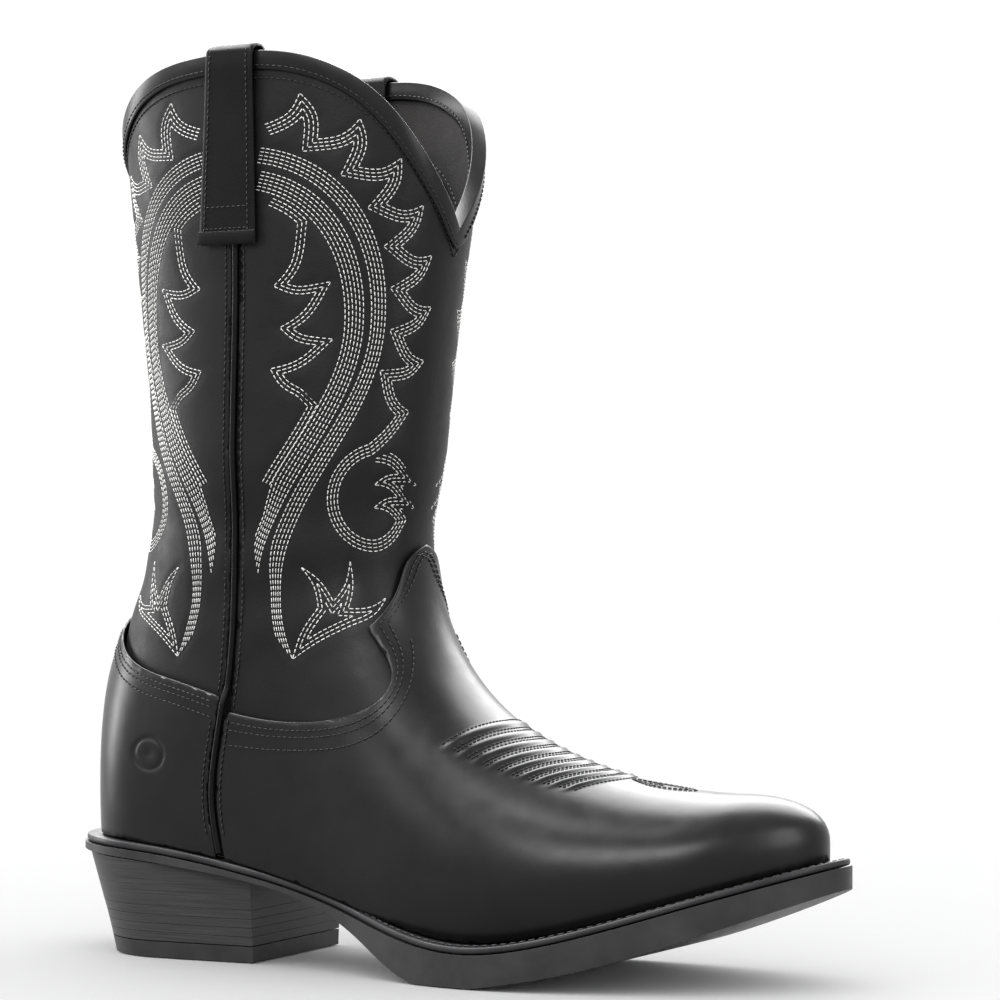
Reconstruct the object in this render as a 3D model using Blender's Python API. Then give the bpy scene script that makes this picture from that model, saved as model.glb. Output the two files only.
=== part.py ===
"""A pull-on western boot for a right foot.

It has a sewn leather upper, a 360 degree welt, a moulded sole and a stacked heel.
Lengths are millimetres and are turned into metres when a mesh is made. The origin is the centre of the heel's
ground face, +X runs to the toe and +Z up, so the outer (lateral) side of the boot faces -Y.
"""
import math

import bmesh
import bpy
import numpy as np
from mathutils import Vector
from mathutils.geometry import delaunay_2d_cdt

MM = 0.001

# Driving dimensions of the upper
TOE_X = 259.5            # tip of the upper
HEEL_X = -41.0           # back of the upper
TOP_SIDE_Z = 340.0       # top line at the pull straps
LEATHER = 1.2            # thickness of each upper leather
LINING = 1.0
LAYER_GAP = 0.5          # air left between two layers of the upper
LAP_DROP = 2.4           # how far the shaft dips to pass under the vamp
LINING_DEPTH = LEATHER + LAYER_GAP
FOOT_LINING_DEPTH = LINING_DEPTH + LAP_DROP
FACING_SINK = 0.35       # the facing stands this much deeper than the lining
STIFFENER_DEPTH = 2.1
STIFFENER_T = 1.0
BLEND = 28.0             # width of the blend between foot and shaft
WIDEST_SHARE = 0.30      # height of the widest level, as a share of the foot's height
SECTION_HALF_ROUND = 38.0
SHAFT_HALF_ROUND = 48.0

# Driving dimensions of the sole and heel
WELT_T = 2.4
WELT_INSET = 9.0         # how far the welt reaches in under the upper
PLATE_GAP = 0.4
SOLE_TOE_X = 267.5
SOLE_HEEL_X = -49.5
BREAST_X = 41.5
BALL_FLAT = (128.0, 146.0)   # the sole is flat on the ground between these
HEEL_TURN = math.radians(3.0)    # the heel's axis points outwards from the boot's
TOP_LIFT_T = 6.0
LIFT_T = 3.0
LIFT_COUNT = 4
HEEL_FLARE_Z = 44.0      # height at which the heel is 3.4 mm wider on each side
NAIL_R = 1.1
NAIL_HEAD_R = 2.1
NAIL_HEAD_T = 1.0
NAIL_FOOT_Z = 8.0
NAIL_PLACES = [(-22.0, 0.0), (-10.0, 19.0), (-10.0, -19.0), (16.0, 20.0), (16.0, -20.0)]

# Upper details
PIPING_R = 1.2
SEAM_GAP = PIPING_R + 0.5
STRAP_T = 2.0
STRAP_EDGES = (38.8, 58.5)   # x of the lateral strap's two edges where it crosses the top line
STRAP_TAPER = (0.10, 0.03)   # how far each edge moves back for a millimetre down
STRAP_SHIFT_MEDIAL = -3.5
STRAP_FOOT_Z = 270.0
STRAP_INSIDE_Z = 292.0
BINDING_T = 0.8
BINDING_LEG = 6.0
LIFT = 0.6               # air between the upper's edge and the welt


def spline(knots):
    """A natural cubic curve through (x, y) knots, straight beyond its ends."""
    x, y = np.array(knots, float).T
    n, h = len(x), np.diff(x)
    a, r = np.eye(n), np.zeros(n)
    for i in range(1, n - 1):
        a[i, i - 1:i + 2] = h[i - 1], 2 * (h[i - 1] + h[i]), h[i]
        r[i] = 6 * ((y[i + 1] - y[i]) / h[i] - (y[i] - y[i - 1]) / h[i - 1])
    m = np.linalg.solve(a, r)
    first = (y[1] - y[0]) / h[0] - h[0] * m[1] / 6
    last = (y[-1] - y[-2]) / h[-1] + h[-1] * m[-2] / 6

    def value(q):
        q = np.asarray(q, float)
        i = np.clip(np.searchsorted(x, q) - 1, 0, n - 2)
        u, v, w = x[i + 1] - q, q - x[i], h[i]
        inside = (m[i] * u**3 + m[i + 1] * v**3) / (6 * w)
        inside = inside + (y[i] / w - m[i] * w / 6) * u + (y[i + 1] / w - m[i + 1] * w / 6) * v
        low, high = y[0] + first * (q - x[0]), y[-1] + last * (q - x[-1])
        return np.where(q < x[0], low, np.where(q > x[-1], high, inside))

    return value


# Profiles along the foot, by x
swing = spline([(-40, 2), (0, 0), (60, -3), (130, -4), (190, 2), (262, 12)])
half_lateral = spline([(-40, 33), (0, 34), (50, 34), (100, 40), (140, 46.5), (175, 46.5), (210, 40),
                       (240, 31), (262, 24)])
half_medial = spline([(-40, 33), (0, 33), (50, 30), (100, 37), (140, 47), (170, 47.5), (210, 40),
                      (240, 31), (262, 24)])
feather_z = spline([(-45, 45), (0, 42.5), (40, 37), (75, 29), (110, 19.5), (145, 14.5), (180, 19.5),
                    (225, 33), (265, 45.5)])
ridge_z = spline([(-40, 110), (40, 150), (80, 150), (100, 127.5), (120, 106), (150, 85), (180, 74),
                  (215, 68.5), (262, 69)])
sole_lateral = spline([(-45, 37), (0, 37.5), (40, 36.5), (65, 34.5), (88, 36.5), (115, 45), (145, 52),
                       (178, 51.5), (215, 43.5), (245, 34), (268, 27)])
sole_medial = spline([(-45, 37), (0, 37), (40, 34.5), (65, 31), (88, 32.5), (115, 42), (145, 51.5),
                      (178, 52), (215, 43.5), (245, 34), (268, 27)])
# Thickness of the sole: thin through the waist, thickest at the ball
sole_drop = spline([(-46, 5.5), (20, 5.5), (75, 5.5), (95, 9), (112, 14), (128, 16.5), (146, 15), (198, 14.5),
                    (268, 11)])
# Profiles up the shaft, by z
shaft_centre = spline([(40, 37), (100, 35), (137, 37), (175, 42), (252, 44.5), (310, 46), (345, 46.5)])
shaft_half_x = spline([(40, 76), (80, 74), (110, 70), (137, 64), (175, 60), (252, 66), (310, 73.5), (345, 78)])
shaft_half_y = spline([(40, 33), (80, 35), (110, 38), (137, 40.5), (175, 43), (252, 47), (310, 51), (345, 53)])
heel_back = spline([(0, -34), (20, -39.5), (34, -45), (46, -49.5)])
seam_x = spline([(42, 31.5), (62, 29), (85, 32), (110, 36.5), (150, 40), (210, 43), (266, 46), (340, 46)])
# Lines round the shaft, by degrees from the front
top_line = spline([(0, 275), (16, 298.5), (32, 321), (50, 334.5), (75, 340), (105, 339), (140, 330), (165, 311),
                   (180, 300)])
facing_foot = spline([(0, 246), (20, 266), (40, 292), (60, 307), (90, 312), (120, 308), (150, 292), (180, 276)])
counter_top = spline([(94, 101), (125, 107), (150, 115), (165, 125), (180, 133)])
stiffener_top = spline([(100, 66), (112, 78), (130, 86), (150, 90), (180, 92)])
lap_line = spline([(0, 148), (6, 146), (11, 140.5), (15, 130.5), (18, 118), (20, 106.5), (23, 97.5), (28, 91.5),
                   (35, 87.5), (45, 85.5), (60, 85.5), (75, 86.5), (95, 88)])
# The vamp's edge in (degrees, height): down the tongue's side to the pleat, then round a hollow to the seam
TONGUE_SIDE = [(0, 158), (10, 153), (16, 142), (28, 127)]
VAMP_HOLLOW = [(28, 127), (24, 112), (34, 96), (54, 92), (86.5, 95)]


def cap(x, start, end, power):
    """1 up to start, then a rounded end that reaches 0 at end."""
    q = np.clip((x - start) / (end - start), 0, 1)
    return np.maximum(1 - q**power, 0)**(1 / power)


def foot_field(p):
    """Below 0 inside the foot of the boot, and near its distance from the surface."""
    x, y, z = p[..., 0], p[..., 1] - swing(p[..., 0]), p[..., 2]
    plan = cap(x, TOE_X - 42, TOE_X, 2.1) * cap(-x, -HEEL_X - 34, -HEEL_X, 2.2)
    half = np.maximum(np.where(y < 0, half_lateral(x), half_medial(x)) * plan, 1e-2)
    widest = feather_z(x) + WIDEST_SHARE * (ridge_z(x) - feather_z(x))
    above = np.maximum((ridge_z(x) - widest) * cap(x, TOE_X - 30, TOE_X, 2.3), 1e-3)
    below = np.maximum((widest - feather_z(x)) * 1.9 + 2, 1e-2)
    side, up = np.abs(y) / half, z - widest
    over = (side**2.1 + (np.abs(up) / above)**2.1)**(1 / 2.1)
    under = (side**2.6 + (np.abs(up) / below)**2.6)**(1 / 2.6)
    return (np.where(up > 0, over, under) - 1) * SECTION_HALF_ROUND


def shaft_field(p):
    x, y, z = p[..., 0], p[..., 1], p[..., 2]
    across = (np.abs(x - shaft_centre(z)) / shaft_half_x(z))**2.15 + (np.abs(y) / shaft_half_y(z))**2.15
    return (across**(1 / 2.15) - 1) * SHAFT_HALF_ROUND


def boot_field(p):
    foot, shaft = foot_field(p), shaft_field(p)
    meet = np.maximum(BLEND - np.abs(foot - shaft), 0) / BLEND
    return np.minimum(foot, shaft) - meet**3 * BLEND / 6


def normal_at(p):
    step = 0.05 * np.eye(3)
    g = np.stack([boot_field(p + s) - boot_field(p - s) for s in step], -1)
    return g / np.linalg.norm(g, axis=-1, keepdims=True)


def surface_along(start, direction, reach=300.0):
    """Where rays from inside the boot leave it."""
    low, high = np.zeros(start.shape[:-1]), np.full(start.shape[:-1], reach)
    for _ in range(36):
        middle = (low + high) / 2
        inside = boot_field(start + direction * middle[..., None]) < 0
        low, high = np.where(inside, middle, low), np.where(inside, high, middle)
    return start + direction * high[..., None]


def wall_point(angle, z):
    """The surface at an angle round the shaft (degrees from the front, lateral positive) and a height."""
    angle, z = np.broadcast_arrays(np.radians(angle), np.asarray(z, float))
    start = np.stack([shaft_centre(z), 0 * z, z], -1)
    return surface_along(start, np.stack([np.cos(angle), -np.sin(angle), 0 * z], -1))


def seam_angle(z):
    """The angle at which the lateral side seam stands at a height."""
    side = surface_along(np.stack([seam_x(z), 0 * z, z], -1), np.broadcast_to([0.0, -1.0, 0.0], z.shape + (3,)))
    return np.degrees(np.arctan2(-side[..., 1], side[..., 0] - shaft_centre(z)))


# The foot is charted by planes that fan from level to upright about a line ahead of the ankle. Ahead of
# CHART_END_X the chart turns into rays that leave one point inside the toe
FAN_X, FAN_Z, FAN_R = 128.0, 195.0, 110.0
FAN_LENGTH = FAN_R * math.pi / 2
CHART_END_X = 205.0
CHART_END = FAN_LENGTH + CHART_END_X - FAN_X
CHART_R = 41.0


def foot_middle(x):
    return feather_z(x) + 0.42 * (ridge_z(x) - feather_z(x))


def fan_plane(s):
    """Centre of the section at s along the boot, and the direction in it towards the ridge."""
    turn = np.clip(s, 0, FAN_LENGTH) / FAN_R
    foot_x = FAN_X + np.clip(s - FAN_LENGTH, 0, CHART_END_X - FAN_X)
    reach_level = FAN_X - shaft_centre(FAN_Z)
    reach_upright = FAN_Z - foot_middle(FAN_X)
    reach = reach_level + (reach_upright - reach_level) * (0.5 - 0.5 * np.cos(2 * turn))
    x = np.where(s > FAN_LENGTH, foot_x, FAN_X - reach * np.cos(turn))
    z = np.where(s > FAN_LENGTH, foot_middle(foot_x), FAN_Z - reach * np.sin(turn))
    y = swing(x) * np.clip(s / FAN_LENGTH, 0, 1)
    return np.stack([x, y, z], -1), np.stack([np.cos(turn), 0 * x, np.sin(turn)], -1)


def foot_point(s, w):
    """The surface at s along the boot and w across it (lateral positive), both about millimetres."""
    s, w = np.asarray(s, float), np.asarray(w, float)
    centre, ridge = fan_plane(s)
    ahead = np.maximum(s - CHART_END, 0)
    lean, round_ = np.hypot(ahead, w) / CHART_R, np.arctan2(w, ahead)
    across = np.where(s > CHART_END, np.sin(lean) * np.sin(round_), np.sin(w / CHART_R))
    upright = np.where(s > CHART_END, np.cos(lean), np.cos(w / CHART_R))
    forward = np.where(s > CHART_END, np.sin(lean) * np.cos(round_), 0.0)
    way = ridge * upright[..., None] - across[..., None] * np.array([0.0, 1.0, 0.0])
    return surface_along(centre, way + forward[..., None] * np.array([1.0, 0.0, 0.0]))


def foot_chart(p):
    """The (s, w) of points on the foot."""
    x, z = p[..., 0], p[..., 2]
    s = np.where(x > FAN_X, FAN_LENGTH + x - FAN_X, FAN_R * np.arctan2(FAN_Z - z, FAN_X - x))
    centre, ridge = fan_plane(s)
    rel = p - centre
    w = CHART_R * np.arctan2(-rel[..., 1], (rel * ridge).sum(-1))
    lean = CHART_R * np.arctan2(np.hypot(rel[..., 0], rel[..., 1]), rel[..., 2])
    round_ = np.arctan2(-rel[..., 1], rel[..., 0])
    toe = x > CHART_END_X
    s, w = np.where(toe, CHART_END + lean * np.cos(round_), s), np.where(toe, lean * np.sin(round_), w)
    return np.stack([s, w], -1)


def smooth_step(q):
    q = np.clip(q, 0, 1)
    return q * q * (3 - 2 * q)


def shaft_drop(z):
    """How far the shaft's layers stand inside the foot's, so that the vamp laps over them."""
    return LAP_DROP * smooth_step((196 - z) / 34)


def material(name, colour, roughness, metallic=0.0):
    found = bpy.data.materials.get(name)
    if found:
        return found
    made = bpy.data.materials.new(name)
    made.use_nodes = True
    shader = made.node_tree.nodes["Principled BSDF"]
    shader.inputs["Base Color"].default_value = (*colour, 1)
    shader.inputs["Roughness"].default_value = roughness
    shader.inputs["Metallic"].default_value = metallic
    return made


MATERIALS = {
    "vamp_leather": ((0.012, 0.012, 0.013), 0.22),
    "shaft_leather": ((0.016, 0.016, 0.017), 0.38),
    "lining_leather": ((0.045, 0.040, 0.038), 0.75),
    "sole_rubber": ((0.030, 0.030, 0.031), 0.55),
    "stacked_leather": ((0.032, 0.032, 0.034), 0.50),
    "welt_leather": ((0.022, 0.022, 0.023), 0.45),
    "insole_board": ((0.42, 0.30, 0.19), 0.85),
    "foam": ((0.09, 0.085, 0.08), 0.9),
    "cork": ((0.40, 0.25, 0.13), 0.9),
    "stiffener": ((0.60, 0.56, 0.48), 0.8),
    "steel": ((0.55, 0.55, 0.56), 0.35, 1.0),
}


def finish_object(name, bm, slot, sharp_degrees=40):
    bmesh.ops.scale(bm, vec=(MM, MM, MM), verts=bm.verts)
    mesh = bpy.data.meshes.new(name)
    bm.to_mesh(mesh)
    bm.free()
    mesh.shade_smooth()
    mesh.set_sharp_from_angle(angle=math.radians(sharp_degrees))
    mesh.materials.append(material(slot, *MATERIALS[slot]))
    made = bpy.data.objects.new(name, mesh)
    bpy.context.scene.collection.objects.link(made)
    return made


def solidify(obj, thickness):
    """Thickens a sheet inwards from its outer face."""
    modifier = obj.modifiers.new("thickness", "SOLIDIFY")
    modifier.thickness = thickness * MM
    modifier.offset = -1
    return obj


def grid_mesh(points, close_u=False):
    """A bmesh sheet over a (rows, columns, 3) grid of points."""
    bm = bmesh.new()
    verts = [[bm.verts.new(p) for p in row] for row in points]
    columns = len(verts[0])
    for upper, lower in zip(verts, verts[1:]):
        for i in range(columns if close_u else columns - 1):
            j = (i + 1) % columns
            bm.faces.new((upper[i], lower[i], lower[j], upper[j]))
    return bm


def inside_polygon(q, polygon):
    """Whether points q lie in a polygon, and how far they are from its edge."""
    a, b = polygon, np.roll(polygon, -1, axis=0)
    x, y = q[:, None, 0], q[:, None, 1]
    crosses = (a[:, 1] > y) != (b[:, 1] > y)
    at = a[:, 0] + (y - a[:, 1]) * (b - a)[:, 0] / np.where(crosses, (b - a)[:, 1], 1)
    inside = (crosses & (x < at)).sum(1) % 2 == 1
    d, e = q[:, None] - a, b - a
    along = np.clip((d * e).sum(-1) / (e * e).sum(-1), 0, 1)
    return inside, np.linalg.norm(d - along[..., None] * e, axis=-1).min(1)


def sheet(name, chart, outline, spacing, depth, thickness, slot, stretch=(1.0, 1.0)):
    """A leather piece: the part of a chart inside an outline, depth below the surface.

    spacing is the mesh's size, and stretch makes it coarser along one of the chart's directions.
    """
    stretch = np.array(stretch)
    outline = np.array(outline) / stretch
    low, high = outline.min(0), outline.max(0)
    axes = [spacing * np.arange(math.ceil(a / spacing), b / spacing) for a, b in zip(low, high)]
    net = np.stack(np.meshgrid(*axes, indexing="ij"), -1).reshape(-1, 2)
    inside, gap = inside_polygon(net, outline)
    net = net[inside & (gap > 0.45 * spacing)]
    flat = [Vector(q) for q in np.concatenate([outline, net])]
    ring = list(range(len(outline)))
    flat, _, faces, _, _, _ = delaunay_2d_cdt(flat, [], [ring], 1, 1e-6)
    q = np.array([tuple(v) for v in flat]) * stretch
    points = chart(q[:, 0], q[:, 1])
    sunk = depth(points) if callable(depth) else np.full(len(points), float(depth))
    outward = normal_at(points)
    points = points - outward * sunk[:, None]
    bm = bmesh.new()
    verts = [bm.verts.new(p) for p in points]
    for face in faces:
        made = bm.faces.new([verts[i] for i in face])
        made.normal_update()
        if made.normal.dot(Vector(outward[face[0]])) < 0:
            made.normal_flip()
    return solidify(finish_object(name, bm, slot), thickness)


def evenly(points, step):
    """A polyline sampled again at about step."""
    points = np.array(points, float)
    along = np.concatenate([[0], np.cumsum(np.linalg.norm(np.diff(points, axis=0), axis=1))])
    count = max(2, int(round(along[-1] / step)) + 1)
    at = np.linspace(0, along[-1], count)
    return np.stack([np.interp(at, along, c) for c in points.T], -1)


def curve(points, count):
    """A smooth curve through a few points of a plane, as evenly spaced points."""
    points = np.array(points, float)
    along = np.concatenate([[0], np.cumsum(np.linalg.norm(np.diff(points, axis=0), axis=1))])
    at = np.linspace(0, along[-1], count)
    return np.stack([spline(np.stack([along, c], -1))(at) for c in points.T], -1)


# The wall chart: u goes round the shaft from the front (lateral positive) and v is the height. It is
# stretched at the front and back, where the wall turns most, so that an even net follows it everywhere
ROUND = 0.95             # mean chart millimetres for a degree
ROUND_SWING = 0.38       # share by which that grows at the front and back


def chart_u(degrees):
    return ROUND * (degrees + ROUND_SWING * np.degrees(np.sin(2 * np.radians(degrees))) / 2)


def degrees_at(u):
    table = np.linspace(-200, 400, 2401)
    return np.interp(u, chart_u(table), table)


def wall(u, v):
    return wall_point(degrees_at(u), v)


def from_front(u):
    """Degrees from the front, 0 to 180 on either side."""
    return np.abs((degrees_at(u) + 180) % 360 - 180)


def wall_outline(left, right, top, bottom, step=10.0):
    """A polygon on the wall chart between two lines given by height and two lines given by u."""
    def corner(edge, line):
        z = 100.0
        for _ in range(12):
            z = float(line(edge(np.array(z))))
        return z

    def across(line, low, high):
        kinks = [k for k in (0.0, float(chart_u(180))) if low < k < high]
        ends = [low] + kinks + [high]
        runs = [np.linspace(a, b, 61) for a, b in zip(ends, ends[1:])]
        runs = [evenly(np.stack([u, line(u)], -1), step) for u in runs]
        return np.concatenate([r[:-1] for r in runs] + [runs[-1][-1:]])

    def along(edge, low, high):
        z = np.linspace(low, high, 60)
        return evenly(np.stack([edge(z), z], -1), step * 1.4)

    foot = [corner(e, bottom) for e in (left, right)]
    head = [corner(e, top) for e in (left, right)]
    sides = [across(bottom, left(foot[0]), right(foot[1]))[:-1], along(right, foot[1], head[1])[:-1],
             across(top, left(head[0]), right(head[1]))[:0:-1], along(left, foot[0], head[0])[:0:-1]]
    return np.concatenate(sides)


def seam_u(z, gap):
    """The lateral seam on the wall chart, moved round towards the back by a gap."""
    z = np.asarray(z, float)
    angle = seam_angle(z)
    p = wall_point(angle, z)
    return chart_u(angle + np.degrees(gap / np.hypot(p[..., 0] - shaft_centre(z), p[..., 1])))


def front_edges(gap):
    return (lambda z: -seam_u(z, -gap)), (lambda z: seam_u(z, -gap))


def back_edges(gap):
    return (lambda z: seam_u(z, gap)), (lambda z: chart_u(360) - seam_u(z, gap))


def foot_line(u, lift):
    """Height of the feather line, plus a lift, at places round the heel."""
    z = 45 + 0 * np.asarray(u, float)
    for _ in range(12):
        z = feather_z(wall(u, z)[..., 0]) + lift
    return z


def plan_ray(x, angle, lift):
    """Where a ray in the feather surface, from the middle of the foot at x, leaves the upper."""
    x, angle = np.broadcast_arrays(np.asarray(x, float), np.radians(angle))
    low, high = 0 * x, 0 * x + 160
    for _ in range(36):
        r = (low + high) / 2
        px, py = x + r * np.cos(angle), swing(x) + r * np.sin(angle)
        inside = boot_field(np.stack([px, py, feather_z(px) + lift], -1)) < 0
        low, high = np.where(inside, r, low), np.where(inside, high, r)
    px, py = x + high * np.cos(angle), swing(x) + high * np.sin(angle)
    return np.stack([px, py, feather_z(px) + lift], -1)


def upper_loop(lift=0.0):
    """The upper's edge on the feather surface, from the heel's back round the lateral side."""
    heel, toe = np.linspace(0, 90, 18), np.linspace(-90, 90, 44)
    x = np.linspace(0, 215, 50)[1:-1]
    return np.concatenate([plan_ray(0, 180 + heel, lift), plan_ray(x, -90, lift), plan_ray(215, toe, lift),
                           plan_ray(x[::-1], 90, lift), plan_ray(0, 90 + heel[:-1], lift)])


def sole_loop():
    """The edge of the sole, in the same order."""
    t = np.linspace(0, 2 * np.pi, 400, endpoint=False)
    x = (SOLE_TOE_X + SOLE_HEEL_X) / 2 - (SOLE_TOE_X - SOLE_HEEL_X) / 2 * np.cos(t)
    plan = cap(x, SOLE_TOE_X - 46, SOLE_TOE_X, 2.1) * cap(-x, -SOLE_HEEL_X - 37, -SOLE_HEEL_X, 2.1)
    return np.stack([x, swing(x) + np.where(t < np.pi, -sole_lateral(x), sole_medial(x)) * plan], -1)


def inset(loop, distance, count=72):
    """A closed loop moved inwards and sampled evenly."""
    closed = evenly(np.concatenate([loop[:, :2], loop[:1, :2]]), 1.5)[:-1]
    along = np.roll(closed, -1, axis=0) - np.roll(closed, 1, axis=0)
    along = along / np.linalg.norm(along, axis=1, keepdims=True)
    moved = closed + distance * np.stack([-along[:, 1], along[:, 0]], -1)
    moved = np.concatenate([moved, moved[:1]])
    length = np.concatenate([[0], np.cumsum(np.linalg.norm(np.diff(moved, axis=0), axis=1))])
    at = np.linspace(0, length[-1], count, endpoint=False)
    return np.stack([np.interp(at, length, c) for c in moved.T], -1)


def rows_of(loop, count=40, x_from=None, also=()):
    """Rows (x, lateral y, medial y) across a loop, closer together towards its round ends."""
    i, j = loop[:, 0].argmin(), loop[:, 0].argmax()
    ring = np.roll(loop, -i, axis=0)
    k = (j - i) % len(loop)
    chains = ring[:k + 1], np.concatenate([ring[k:], ring[:1]])[::-1]
    part = np.arange(count + 1) / count
    share = 0.5 - 0.5 * np.cos(np.pi * part) if x_from is None else np.sin(np.pi / 2 * part)
    start = chains[0][0, 0] if x_from is None else x_from
    x = np.union1d(start + (chains[0][-1, 0] - start) * share, also)
    y = [np.interp(x, c[:, 0], c[:, 1]) for c in chains]
    return np.stack([x, np.minimum(*y), np.maximum(*y)], -1)


def plate(name, low_rows, high_rows, z_low, z_high, slot, turn=0.0):
    """A solid between two surfaces over rows that run across it."""
    bm = bmesh.new()
    spin = np.array([[math.cos(turn), math.sin(turn)], [-math.sin(turn), math.cos(turn)]])
    rings = []
    for low, high in zip(low_rows, high_rows):
        ring = []
        for row, side, z in ((low, 1, z_low), (low, 2, z_low), (high, 2, z_high), (high, 1, z_high)):
            x, y = np.array([row[0], row[side]]) @ spin
            ring.append(bm.verts.new((x, y, float(z(x)))))
        rings.append(ring)
    for a, b in zip(rings, rings[1:]):
        for i in range(4):
            bm.faces.new((a[i], a[i - 1], b[i - 1], b[i]))
    bm.faces.new(rings[0])
    bm.faces.new(rings[-1][::-1])
    bmesh.ops.remove_doubles(bm, verts=bm.verts, dist=1e-3)
    bmesh.ops.dissolve_degenerate(bm, edges=bm.edges, dist=1e-4)
    bmesh.ops.recalc_face_normals(bm, faces=bm.faces)
    return finish_object(name, bm, slot)


def swept(name, sections, slot, closed=False, sharp=40):
    """A solid through a row of matching closed sections."""
    bm = bmesh.new()
    rings = [[bm.verts.new(p) for p in section] for section in sections]
    pairs = list(zip(rings, rings[1:] + rings[:1])) if closed else list(zip(rings, rings[1:]))
    for a, b in pairs:
        for i in range(len(a)):
            bm.faces.new((a[i], a[i - 1], b[i - 1], b[i]))
    if not closed:
        bm.faces.new(rings[0])
        bm.faces.new(rings[-1][::-1])
    bmesh.ops.recalc_face_normals(bm, faces=bm.faces)
    return finish_object(name, bm, slot, sharp)


def constant(z):
    return lambda x: z


def above_feather(lift):
    return lambda x: feather_z(x) + lift


def sole_bottom(x):
    return np.maximum(feather_z(x) - sole_drop(x), 0.0)


def welt_parts():
    outer, inner = inset(sole_loop(), 0.8, 80), inset(upper_loop(), WELT_INSET, 80)
    sections = []
    for (ox, oy), (ix, iy) in zip(outer, inner):
        o, i = float(feather_z(ox)), float(feather_z(ix))
        sections.append([(ox, oy, o - WELT_T), (ox, oy, o), (ix, iy, i), (ix, iy, i - WELT_T)])
    swept("welt", sections, "welt_leather", closed=True)
    filler = rows_of(inset(upper_loop(), WELT_INSET + 1.4, 160), 16, x_from=97.0)
    plate("cork_filler", filler, filler, above_feather(-WELT_T), above_feather(-PLATE_GAP), "cork")
    x = np.linspace(-12, 92, 15)
    strip = np.stack([x, 0 * x - 6 - 0.02 * x, 0 * x + 6 - 0.02 * x], -1)
    plate("shank", strip, strip, above_feather(0.4 - WELT_T), above_feather(-0.6), "steel")


def sole_parts():
    rows = rows_of(inset(sole_loop(), 0.0, 300), also=BALL_FLAT)
    outsole = plate("outsole", rows, rows, sole_bottom, above_feather(-WELT_T - PLATE_GAP), "sole_rubber")
    board_loop = inset(upper_loop(1.0), FOOT_LINING_DEPTH + LINING + 1.3, 200)
    rows = rows_of(board_loop, 34)
    board = plate("insole_board", rows, rows, above_feather(PLATE_GAP), above_feather(2.8), "insole_board")
    plate("footbed", rows, rows, above_feather(3.1), above_feather(7.0), "foam")
    return outsole, board


def heel_rows(z, count=16):
    """The heel's outline at a height, with a straight front edge."""
    back, half = float(heel_back(z)), 33.8 + 3.4 * z / HEEL_FLARE_Z
    x = BREAST_X - (BREAST_X - back) * np.sin(np.pi / 2 * np.arange(count + 1) / count)
    y = half * cap(-x, -back - half, -back, 2.05) * (1 - 0.02 * smooth_step((x - 5) / 40))
    return np.stack([x, -y, y], -1)


def heel_parts():
    solids = [plate("heel_top_lift", heel_rows(0), heel_rows(TOP_LIFT_T), constant(0.0), constant(TOP_LIFT_T),
                    "sole_rubber", HEEL_TURN)]
    z = TOP_LIFT_T + PLATE_GAP
    for i in range(LIFT_COUNT):
        solids.append(plate("heel_lift_%d" % (i + 1), heel_rows(z), heel_rows(z + LIFT_T), constant(z),
                            constant(z + LIFT_T), "stacked_leather", HEEL_TURN))
        z += LIFT_T + PLATE_GAP
    wedge = plate("heel_wedge", heel_rows(z), heel_rows(35), constant(z),
                  lambda x: sole_bottom(x) - PLATE_GAP, "stacked_leather", HEEL_TURN)
    return solids[1:] + [wedge]


def round_sections(x, y, profile, sides=6):
    """Rings of an upright turned solid through (radius, height) pairs."""
    turn = 2 * np.pi * np.arange(sides) / sides
    return [[(x + r * math.cos(a), y + r * math.sin(a), z) for a in turn] for r, z in profile]


def nails(solids, board):
    """Heel nails from the insole board down into the lowest lift, each in its own hole."""
    cutters = bpy.data.collections.new("cutters")
    bpy.context.scene.collection.children.link(cutters)
    for n, (x, y) in enumerate(NAIL_PLACES):
        top = float(feather_z(x)) + 2.4
        profile = [(0.35, NAIL_FOOT_Z), (NAIL_R, NAIL_FOOT_Z + 4), (NAIL_R, top - NAIL_HEAD_T),
                   (NAIL_HEAD_R, top - NAIL_HEAD_T), (NAIL_HEAD_R, top)]
        swept("heel_nail_%d" % (n + 1), round_sections(x, y, profile), "steel")
        wide = NAIL_HEAD_R + 0.5
        holes = [(NAIL_R + 0.4, NAIL_FOOT_Z - 0.4), (NAIL_R + 0.4, 60)], [(wide, top - 10), (wide, top + 10)]
        for kind, profile in zip(("shaft", "head"), holes):
            cutter = swept("cut_%s_%d" % (kind, n + 1), round_sections(x, y, profile), "steel")
            bpy.context.scene.collection.objects.unlink(cutter)
            cutters.objects.link(cutter)
            cutter.hide_render = True
            cutter.display_type = "WIRE"
            for solid in (solids if kind == "shaft" else [board]):
                modifier = solid.modifiers.new("nail %d" % (n + 1), "BOOLEAN")
                modifier.operation, modifier.solver, modifier.object = "DIFFERENCE", "EXACT", cutter


def seam_path(side, top, bottom, count):
    """Points down a side seam, with the outward normals there."""
    z = np.linspace(top, bottom, count)
    p = wall_point(side * seam_angle(z), z)
    return p, normal_at(p), z


def piping(name, side):
    p, outward, z = seam_path(side, TOP_SIDE_Z - BINDING_LEG - 1.2, 37.0, 28)
    low = float(feather_z(p[-1, 0])) + LIFT + 2.5
    p, outward, z = seam_path(side, TOP_SIDE_Z - BINDING_LEG - 1.2, low, 28)
    depth = 0.2 + shaft_drop(z) * smooth_step((z - 97) / 9)
    p = p - outward * depth[:, None]
    down = np.gradient(p, axis=0)
    across = np.cross(down, outward)
    across /= np.linalg.norm(across, axis=1, keepdims=True)
    turn = 2 * np.pi * np.arange(6) / 6
    sections = [[tuple(c + PIPING_R * (math.cos(a) * n + math.sin(a) * t)) for a in turn]
                for c, n, t in zip(p, outward, across)]
    swept(name, sections, "shaft_leather", sharp=80)


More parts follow.
